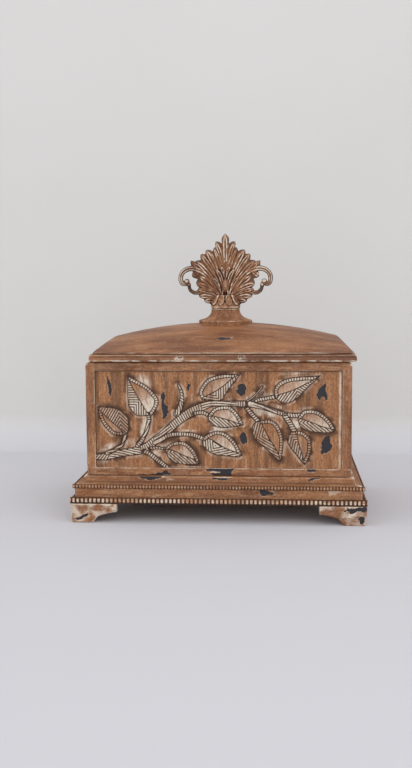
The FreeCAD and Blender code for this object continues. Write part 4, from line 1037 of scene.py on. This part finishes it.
def carved_panel():
    """The front panel, carved with a leafy vine."""
    carving = values("carving")
    low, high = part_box("carved_front_panel")
    x, z = panel_grid(low, high, carving.grid)
    flat = np.stack([x.ravel(), z.ravel()], axis=1) / MM
    place = np.stack([x.ravel(), np.zeros(x.size), z.ravel()], axis=1)
    relief = Relief(flat)
    for stem in STEMS:
        relief.stem(**stem)
    for leaf in LEAVES:
        relief.leaf(**leaf)

    lime, dirt_and_painted_shade, strokes = panel_masks(relief, place, low, high)
    height = relief.height - np.where(relief.raised, 0.08, 0.35) * strokes
    height -= relief.cut * carving.cut / MM
    far = outside(flat, PANEL_FLAKES) + (layered(place, RAGGED_SIZE, 2, seed=9) - 0.5) * 1.9
    flake, rim = flaking(far, 0.45 * ramp(lumps(place, 2.2 * MM, 8), 0.3, 0.7))
    flaked = np.minimum(height, 0) - flake * values("wear").flake_depth / MM
    height = np.where(far < 0.3, flaked, height)

    ground_y = low[1] + carving.relief
    front = ground_y - height.reshape(x.shape) * MM
    edge = np.minimum(np.minimum(x - low[0], high[0] - x), np.minimum(z - low[2], high[2] - z))
    front = np.where(edge < HIDDEN_EDGE, ground_y, front)
    name = "carved_front_panel_wood"
    piece = link(name, board_mesh(name, x, z, front, high[1]))

    points = read(piece.data, "vertices", "co")
    behind = np.zeros(len(points) - len(flat))
    masks = dict(hollow=dirt_and_painted_shade * (1 - rim), lime=lime, flake=flake, rim=rim)
    masks = {kind: np.concatenate([mask, behind]) for kind, mask in masks.items()}
    write_masks(piece.data, points[:, GRAIN_ORDER["Z"]] + np.array((0.4, 0.9, 0.2)), **masks)
    piece.data.shade_smooth()
    wood = finish("carved_wood", worn_wood, tone=0.09, haze=0.5)
    dress(piece, ("carved_front_panel",), wood)


# ---------------------------------------------------------------- lid
def lid():
    """The lid's rim and its domed board."""
    worn = values("wear")
    wood = finish("lid_wood", worn_wood, tone=-0.065, haze=0.2, contrast=0.6, gloss=0.17)
    for index, side in enumerate(SIDES):
        along = "X" if side in ("front", "back") else "Y"
        cell = worn.fine_cell if side == "front" else worn.cell
        worn_copy(side + "_lid_rim", cell, along, wood, seed=80 + index, lime=0.05, lines=RIM_LINES)
    worn_copy("lid_dome", worn.rough_cell, "X", wood, seed=90, smooth=8)


# ---------------------------------------------------------------- finial, mm
# Everything is (reach from the axis, rise above the collar's foot), for one side of the fan.
# The scalloped edge, from the top down: each lobe's tip and the notch after it.
SCALLOPS = (
    ((0.0, 80.3), (3.2, 71.4)),
    ((10.4, 71.4), (8.4, 66.8)),
    ((12.4, 64.8), (12.8, 61.0)),
    ((20.8, 62.6), (19.4, 55.8)),
    ((26.4, 58.2), (25.8, 51.8)),
    ((31.8, 51.0), (33.2, 48.4)),
    ((37.6, 51.0), (34.0, 42.6)),
    ((36.0, 34.2), (28.2, 34.8)),
    ((31.6, 26.6), (27.6, 21.8)),
    ((30.4, 20.6), (28.0, 17.2)),
    ((28.6, 12.6), (23.8, 10.4)),
    ((22.6, 7.4), (16.6, 4.6)),
)
SCALLOP_SHOULDER = 0.2
FAN_THICKNESS = 4.2
SUNK_HALF = 3.0              # half width of the layer between the lobes that is darkened with painted shade
FAN_HEART = (0.0, 26.0)      # where the fan's furrows meet
NOTCH_CUT = 0.09             # how much deeper the carving cuts each notch, as a share of the way to the heart
# Furrowed lobes on the fan: foot, tip, bow (share of the length), width, half depth.
LOBES = (
    ((0.0, 26.0), (0.0, 79.6), 0.0, 7.2, 5.0),
    ((1.5, 34.0), (10.0, 70.8), 0.10, 6.0, 4.6),
    ((2.5, 30.0), (12.2, 64.2), 0.08, 4.6, 4.2),
    ((3.0, 22.0), (20.4, 62.0), 0.08, 7.6, 5.2),
    ((4.0, 24.0), (16.2, 60.6), 0.06, 4.4, 4.4),
    ((6.0, 24.0), (26.0, 57.6), 0.08, 6.6, 4.8),
    ((5.0, 19.0), (31.2, 50.4), 0.08, 6.4, 4.8),
    ((10.0, 22.0), (37.2, 50.6), 0.08, 5.6, 4.2),
    ((26.0, 40.0), (35.6, 34.6), 0.12, 6.4, 4.0),
    ((6.0, 15.0), (27.6, 34.6), 0.06, 7.4, 4.4),
    ((5.0, 13.0), (31.2, 26.4), 0.14, 7.0, 4.8),
    ((6.0, 11.0), (30.0, 20.4), 0.14, 5.6, 4.6),
    ((5.0, 9.0), (28.2, 12.8), 0.16, 6.8, 5.0),
    ((4.0, 6.0), (22.4, 7.6), 0.18, 6.4, 5.6),
    ((3.0, 4.0), (15.0, 6.0), 0.2, 6.0, 8.0),
)
# Sepals round the bud, in the same terms.
SEPALS = (
    ((3.0, 15.0), (9.4, 41.6), 0.20, 5.6, 7.8),
    ((4.0, 13.0), (14.6, 33.4), 0.18, 5.0, 6.8),
    ((1.2, 33.0), (4.6, 44.5), 0.12, 4.4, 7.2),
)
# Scrolls: places along the middle, half width at the start and the end, and the round eye.
SCROLLS = (
    (((6.0, 17.0), (20.0, 35.0), (27.0, 40.3), (35.5, 42.9), (42.4, 41.6), (47.0, 37.6),
      (48.5, 32.0), (46.8, 26.9), (43.0, 26.4), (41.6, 29.2)), 3.3, 2.2, 2.9),
    (((22.0, 20.0), (28.0, 17.8), (33.6, 16.9), (38.4, 20.4), (39.4, 25.6)), 2.6, 1.9, 2.3),
)
LOBE_STEPS = 22               # places along a lobe
BUD_RISE, BUD_LENGTH, BUD_RADIUS, BUD_DEPTH = 24.0, 15.5, 4.3, 8.0
# Turned collar: radius, rise.
COLLAR = ((14.9, 0.0), (15.8, 0.7), (16.0, 2.0), (15.0, 3.6), (14.2, 5.6), (12.4, 8.0), (10.0, 11.0), (8.0, 14.0))
# Small leaves that lie on the collar: how many, where they start, how far they run, half thickness and
# half width.
COLLAR_LEAVES = 10
COLLAR_LEAF_START, COLLAR_LEAF_RUN = (8.5, 13.0), (6.3, -9.5)
COLLAR_LEAF_THICKNESS, COLLAR_LEAF_WIDTH = 2.1, 4.3
# Turned foot: radius as a share of the widest, rise as a share of the height from the rim's underside.
FOOT_TURNING = (
    (0.975, -0.42), (0.985, -0.02), (1.0, 0.05), (0.995, 0.12), (0.96, 0.165), (0.90, 0.19), (0.80, 0.25),
    (0.70, 0.34), (0.62, 0.46), (0.565, 0.60), (0.54, 0.74), (0.53, 0.84), (0.52, 0.885), (0.535, 0.92),
    (0.545, 0.95), (0.54, 0.985), (0.50, 1.0),
)


def ring_mesh(rings):
    """Points and faces of a closed tube through rings of equal counts."""
    count = len(rings[0])
    points = [tuple(p) for ring in rings for p in ring]
    faces = []
    for row in range(len(rings) - 1):
        for i in range(count):
            a, b = row * count + i, row * count + (i + 1) % count
            faces.append((a, b, b + count, a + count))
    faces.append(tuple(reversed(range(count))))
    faces.append(tuple(range((len(rings) - 1) * count, len(rings) * count)))
    return points, faces


def swept(path, half_widths, half_depths, grooved, count=28):
    """A tapering form along a path in the X-Z plane. grooved: depth of the furrow down its front and back."""
    tangents = np.gradient(path, axis=0)
    tangents /= np.linalg.norm(tangents, axis=1)[:, None]
    angles = np.linspace(0, 2 * math.pi, count, endpoint=False)
    v = np.cos(angles)
    furrow = 1 - grooved * (0.5 + 0.5 * np.cos(2 * math.pi * v))
    shape = np.sign(np.sin(angles)) * np.abs(np.sin(angles)) ** 0.7 * furrow
    rings = []
    for (px, pz), (tx, tz), width, depth in zip(path, tangents, half_widths, half_depths):
        rings.append(np.stack([px - tz * v * width, shape * depth, pz + tx * v * width], axis=1))
    return ring_mesh(rings)


def bowed(root, tip, bow):
    """A path from root to tip that bows towards the axis side."""
    root, tip = np.array(root, float), np.array(tip, float)
    chord = tip - root
    side = np.array((-chord[1], chord[0])) * (1 if tip[0] >= 0 else -1)
    middle = (root + tip) / 2 + side * bow
    t = np.linspace(0, 1, LOBE_STEPS)[:, None]
    return (1 - t) ** 2 * root + 2 * t * (1 - t) * middle + t**2 * tip


def furrowed_lobe(foot, tip, bow, width, depth):
    """A lobe that swells towards its tip, with a furrow down the middle."""
    path = bowed(foot, tip, bow)
    t = np.linspace(0, 1, len(path))
    widths = width / 2 * np.interp(t, (0, 0.3, 0.55, 0.78, 0.92, 1), (0.25, 0.45, 0.85, 1, 0.66, 0.12))
    depths = depth * np.interp(t, (0, 0.3, 0.65, 0.88, 1), (0.95, 0.8, 0.68, 1, 0.5))
    return swept(path, widths, depths, 0.34)


def scallop_shoulder(notch, tip, turn):
    """A place that swells a scallop's side off the line from its notch to its tip."""
    side = tip - notch
    return (notch + tip) / 2 + np.array((-side[1], side[0])) * turn * SCALLOP_SHOULDER


def fan_plate():
    """The flat middle of the fan, with its scalloped edge."""
    edge = []
    before = None
    for tip, notch in SCALLOPS:
        tip, notch = np.array(tip), np.array(notch)
        notch = notch + (np.array(FAN_HEART) - notch) * NOTCH_CUT
        places = [tip, scallop_shoulder(notch, tip, -1), notch]
        if before is not None:
            places = [before, scallop_shoulder(before, tip, 1), *places]
        edge.extend(curve_through(places, 4)[:-1])
        before = notch
    edge.append(before)
    edge = np.array(edge + [(-x, z) for x, z in edge[:0:-1]])
    half = FAN_THICKNESS / 2
    count = len(edge)
    points = [(x, y, z) for y in (-half, half) for x, z in edge]
    faces = [(i, (i + 1) % count, count + (i + 1) % count, count + i) for i in range(count)]
    return points, [*faces, tuple(reversed(range(count))), tuple(range(count, 2 * count))]


def scroll_arm(places, start, end, eye):
    """A furrowed scroll with a round eye at its end."""
    path = curve_through(places, 6)
    t = np.linspace(0, 1, len(path))
    widths = start + (end - start) * t
    arm = swept(path, widths, widths * 1.25, 0.4, 20)
    (x, z), rise = path[-1], np.linspace(-1, 1, 9)
    spine = np.stack([np.full(len(rise), x), z + eye * rise], axis=1)
    swell = np.sqrt(np.clip(1.02 - rise**2, 0, 1))
    return [arm, swept(spine, eye * swell, end * 1.5 * swell, 0.0, 16)]


def lathe(profile, count=96):
    """A turned form from (radius, rise) pairs, bottom to top."""
    angles = np.linspace(0, 2 * math.pi, count, endpoint=False)
    return ring_mesh([np.stack([r * np.cos(angles), r * np.sin(angles), np.full(count, z)], axis=1)
                      for r, z in profile])


def mirrored(form):
    points, faces = form
    return [(-x, y, z) for x, y, z in points], [tuple(reversed(f)) for f in faces]


def joined(name, forms, place):
    """One mesh from several closed forms, in mm about the finial's axis."""
    points, faces = [], []
    for form_points, form_faces in forms:
        start = len(points)
        points += form_points
        faces += [tuple(start + i for i in face) for face in form_faces]
    mesh = bpy.data.meshes.new(name)
    mesh.from_pydata([tuple(np.array(p) * MM + place) for p in points], [], faces)
    return mesh


def bud():
    """The egg-shaped bud between the sepals, front and back."""
    t = np.linspace(-1, 1, 15)
    swell = np.sqrt(np.clip(1 - (t * 0.985) ** 2, 0, 1))
    spine = np.stack([np.zeros(len(t)), BUD_RISE + t * BUD_LENGTH / 2], axis=1)
    return swept(spine, BUD_RADIUS * swell, BUD_DEPTH * swell, 0.0)


def collar_leaf(turn):
    """A small leaf that lies on the collar, pointing down."""
    t = np.linspace(0, 1, 9)
    bent = np.stack([t**0.7, t**1.3], axis=1)
    path = COLLAR_LEAF_START + np.array(COLLAR_LEAF_RUN) * bent
    widths = COLLAR_LEAF_WIDTH * np.interp(t, (0, 0.5, 0.85, 1), (0.5, 1, 0.8, 0.3))
    points, faces = swept(path, np.full(len(t), COLLAR_LEAF_THICKNESS), widths, 0.3, 16)
    rows = np.array(points) @ np.array(Matrix.Rotation(turn, 3, "Z")).T
    return [tuple(row) for row in rows], faces


def finial():
    """The turned foot and the pierced leaf above it."""
    worn = values("wear")
    wood = finish("finial_wood", worn_wood, tone=-0.03, lime_on_crests=1.15, haze=0.8)
    foot_low, foot_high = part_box("finial_base")
    axis = np.array(((foot_low[0] + foot_high[0]) / 2, (foot_low[1] + foot_high[1]) / 2, foot_high[2]))

    forms = [fan_plate(), bud(), lathe(COLLAR)]
    forms += [collar_leaf(2 * math.pi * i / COLLAR_LEAVES) for i in range(COLLAR_LEAVES)]
    sides = [furrowed_lobe(*lobe) for lobe in LOBES + SEPALS]
    for scroll in SCROLLS:
        sides += scroll_arm(*scroll)
    for form in sides:
        forms += [form, mirrored(form)]
    leaf = link("finial_leaf_wood", joined("finial_leaf_wood", forms, axis))
    even_mesh(leaf, worn.fine_cell)
    # Strong dirt and painted shade in the finial's hollows and on the sunk layer between its lobes.
    wear(leaf, "Z", seed=95, crest_gain=1.2, even=0.2, hollow_gain=1.7, sunk=(axis[1], SUNK_HALF * MM))
    dress(leaf, ("finial_leaf",), wood)

    radius = (foot_high[0] - foot_low[0]) / 2 / MM
    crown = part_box("lid_dome")[1][2]
    height = (foot_high[2] - crown) / MM
    turning = [(radius * r, height * (rise - 1)) for r, rise in FOOT_TURNING]
    foot = link("finial_base_wood", joined("finial_base_wood", [lathe(turning, 128)], axis))
    even_mesh(foot, worn.fine_cell)
    wear(foot, "Z", seed=96, smooth=2)
    dress(foot, ("finial_base",), wood)


def coat(node, material):
    """Puts a finish on a node that keeps its own mesh."""
    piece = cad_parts[node]
    piece.data.materials.clear()
    piece.data.materials.append(material)


def hidden_pieces():
    """Finishes of the pieces that show only when the lid is off."""
    plain = finish("plain_wood", plain_wood)
    for node in ("bottom_board", *(side + "_lid_lip" for side in SIDES)):
        coat(node, plain)
    coat("finial_screw", finish("screw_steel", screw_steel))


# ---------------------------------------------------------------- stage
CAMERA_PLACE = (0.0647, -1.0591, 0.2461)
CAMERA_YAW = -0.0777
CAMERA_PITCH = 0.1067
CAMERA_ROLL = -0.0062
SENSOR = 36.0                 # the picture's long side on the sensor, mm
WALL_Y = 0.35
WALL_HEIGHT = 3.0
COVE_RADIUS = 0.05
SHEET_REACH = 8.0             # from the box to the cloth's and the wall's edges
# Name, size, place, aim, power.
LAMPS = (
    ("key", (1.5, 1.5), (0.6, -1.6, 1.2), (0, 0, 0.12), 7.5),
    ("fill", (1.4, 1.4), (-1.6, -1.4, 0.9), (0, 0, 0.12), 3.5),
    ("top", (1.6, 0.4), (0, 0.02, 1.4), (0, -0.25, 0), 1.0),
)
SKY_COLOUR = (0.88, 0.94, 1.0, 1.0)
SKY_STRENGTH = 1.15


def camera():
    """A camera in front of the box, a little to its right."""
    look = bpy.data.cameras.new("camera")
    look.lens = values("stage").lens
    look.sensor_width = SENSOR
    eye = bpy.data.objects.new("camera", look)
    bpy.context.scene.collection.objects.link(eye)
    yaw, pitch, roll = CAMERA_YAW, CAMERA_PITCH, CAMERA_ROLL
    ahead = Vector((math.sin(yaw) * math.cos(pitch), math.cos(yaw) * math.cos(pitch), -math.sin(pitch)))
    level = Vector((math.cos(yaw), -math.sin(yaw), 0.0))
    upward = level.cross(ahead)
    right = level * math.cos(roll) + upward * math.sin(roll)
    top = upward * math.cos(roll) - level * math.sin(roll)
    turn = Matrix((right, top, -ahead)).transposed()
    eye.matrix_world = Matrix.Translation(CAMERA_PLACE) @ turn.to_4x4()
    bpy.context.scene.camera = eye


def lamp(name, size, place, aim, power):
    light = bpy.data.lights.new(name, "AREA")
    light.shape = "RECTANGLE"
    light.size, light.size_y = size
    light.energy = power
    holder = bpy.data.objects.new(name, light)
    bpy.context.scene.collection.objects.link(holder)
    holder.location = place
    holder.rotation_euler = (Vector(aim) - Vector(place)).to_track_quat("-Z", "Y").to_euler()


def backdrop():
    """Cloth and wall in one sheet, with a soft bend between them, and more cloth behind the wall."""
    stage = values("stage")
    turn = np.linspace(0, math.pi / 2, 13)
    bend = [(WALL_Y - COVE_RADIUS + COVE_RADIUS * math.sin(a), COVE_RADIUS * (1 - math.cos(a))) for a in turn]
    profile = [(-SHEET_REACH, 0.0), *bend, (WALL_Y, WALL_HEIGHT)]
    made = Finish("backdrop")
    place = made.node("ShaderNodeTexCoord", {}, {}, "Object")
    height = made.node("ShaderNodeSeparateXYZ", {}, {0: place}, 2)
    stains = made.noise(made.stretch(place, *STAINS), detail=5)
    wall = made.mix(stains.between(0.3, 0.8) * 0.25, tuple(stage.wall), tuple(0.86 * c for c in stage.wall))
    tint = made.mix(height.between(0.004, 0.05), tuple(stage.floor), wall)
    made.feed(Base_Color=tint, Roughness=0.95, Specular_IOR_Level=0.1)
    made.clear_from_behind()
    for name, line in (("backdrop", profile), ("floor_behind", [(bend[0][0], 0.0), (SHEET_REACH, 0.0)])):
        points = [(side * SHEET_REACH, y, z) for y, z in line for side in (-1, 1)]
        faces = [(2 * i, 2 * i + 1, 2 * i + 3, 2 * i + 2) for i in range(len(line) - 1)]
        mesh = bpy.data.meshes.new(name)
        mesh.from_pydata(points, [], faces)
        mesh.shade_smooth()
        mesh.materials.append(made.material)
        sheet = link(name, mesh)


def stage():
    """Backdrop, lamps, world and camera."""
    scene = bpy.context.scene
    scene.view_settings.view_transform = "Standard"
    backdrop()
    camera()
    for name, size, place, aim, power in LAMPS:
        lamp(name, size, place, aim, power * getattr(values("stage"), name))
    world = bpy.data.worlds.new("studio")
    world.use_nodes = True
    sky = world.node_tree.nodes["Background"].inputs
    sky["Color"].default_value = SKY_COLOUR
    sky["Strength"].default_value = SKY_STRENGTH
    scene.world = world


# ---------------------------------------------------------------- add-on
class KEEPSAKE_OT_stage(bpy.types.Operator):
    """Puts up the backdrop, the lamps and the camera"""
    bl_idname = "keepsake.stage"
    bl_label = "Stage"

    def execute(self, context):
        stage()
        return {"FINISHED"}


class KEEPSAKE_OT_case_frame(bpy.types.Operator):
    """Makes the posts, the sills, the top rails and the plain panels"""
    bl_idname = "keepsake.case_frame"
    bl_label = "Case frame"

    def execute(self, context):
        case_frame()
        return {"FINISHED"}


class KEEPSAKE_OT_carved_panel(bpy.types.Operator):
    """Makes the front panel with its leafy vine"""
    bl_idname = "keepsake.carved_panel"
    bl_label = "Carved panel"

    def execute(self, context):
        carved_panel()
        return {"FINISHED"}


class KEEPSAKE_OT_plinth(bpy.types.Operator):
    """Makes the plinth rails and the bracket feet"""
    bl_idname = "keepsake.plinth"
    bl_label = "Plinth and feet"

    def execute(self, context):
        plinth()
        return {"FINISHED"}


class KEEPSAKE_OT_mouldings(bpy.types.Operator):
    """Makes the row of beads and the row of ribs"""
    bl_idname = "keepsake.mouldings"
    bl_label = "Mouldings"

    def execute(self, context):
        mouldings()
        return {"FINISHED"}


class KEEPSAKE_OT_lid(bpy.types.Operator):
    """Makes the lid's rim and its domed board"""
    bl_idname = "keepsake.lid"
    bl_label = "Lid"

    def execute(self, context):
        lid()
        return {"FINISHED"}


class KEEPSAKE_OT_finial(bpy.types.Operator):
    """Makes the turned foot and the pierced leaf"""
    bl_idname = "keepsake.finial"
    bl_label = "Finial"

    def execute(self, context):
        finial()
        return {"FINISHED"}


class KEEPSAKE_OT_hidden_pieces(bpy.types.Operator):
    """Finishes the pieces that show only when the lid is off"""
    bl_idname = "keepsake.hidden_pieces"
    bl_label = "Hidden pieces"

    def execute(self, context):
        hidden_pieces()
        return {"FINISHED"}


OPERATORS = (
    KEEPSAKE_OT_stage,
    KEEPSAKE_OT_case_frame,
    KEEPSAKE_OT_carved_panel,
    KEEPSAKE_OT_plinth,
    KEEPSAKE_OT_mouldings,
    KEEPSAKE_OT_lid,
    KEEPSAKE_OT_finial,
    KEEPSAKE_OT_hidden_pieces,
)


class KEEPSAKE_PT_sidebar(bpy.types.Panel):
    """Lists the box's operators and values."""
    bl_label = "Keepsake Box"
    bl_space_type = "VIEW_3D"
    bl_region_type = "UI"
    bl_category = "Keepsake Box"

    def draw(self, context):
        for made in OPERATORS:
            self.layout.operator(made.bl_idname)
        for kind in GROUPS:
            group = getattr(context.scene, "keepsake_" + kind)
            for name in group.bl_rna.properties.keys():
                if name not in ("name", "rna_type"):
                    self.layout.prop(group, name)


GROUPS = {"colours": BoxColours, "wear": BoxWear, "carving": BoxCarving, "stage": BoxStage}


def register():
    for kind, group in GROUPS.items():
        bpy.utils.register_class(group)
        setattr(bpy.types.Scene, "keepsake_" + kind, PointerProperty(type=group))
    for made in (*OPERATORS, KEEPSAKE_PT_sidebar):
        bpy.utils.register_class(made)


def unregister():
    for made in (KEEPSAKE_PT_sidebar, *reversed(OPERATORS)):
        bpy.utils.unregister_class(made)
    for kind, group in reversed(GROUPS.items()):
        delattr(bpy.types.Scene, "keepsake_" + kind)
        bpy.utils.unregister_class(group)


def main():
    """Registers the add-on, then builds everything."""
    register()
    for made in OPERATORS:
        getattr(bpy.ops.keepsake, made.bl_idname.split(".")[1])()


if __name__ == "__main__":
    main()
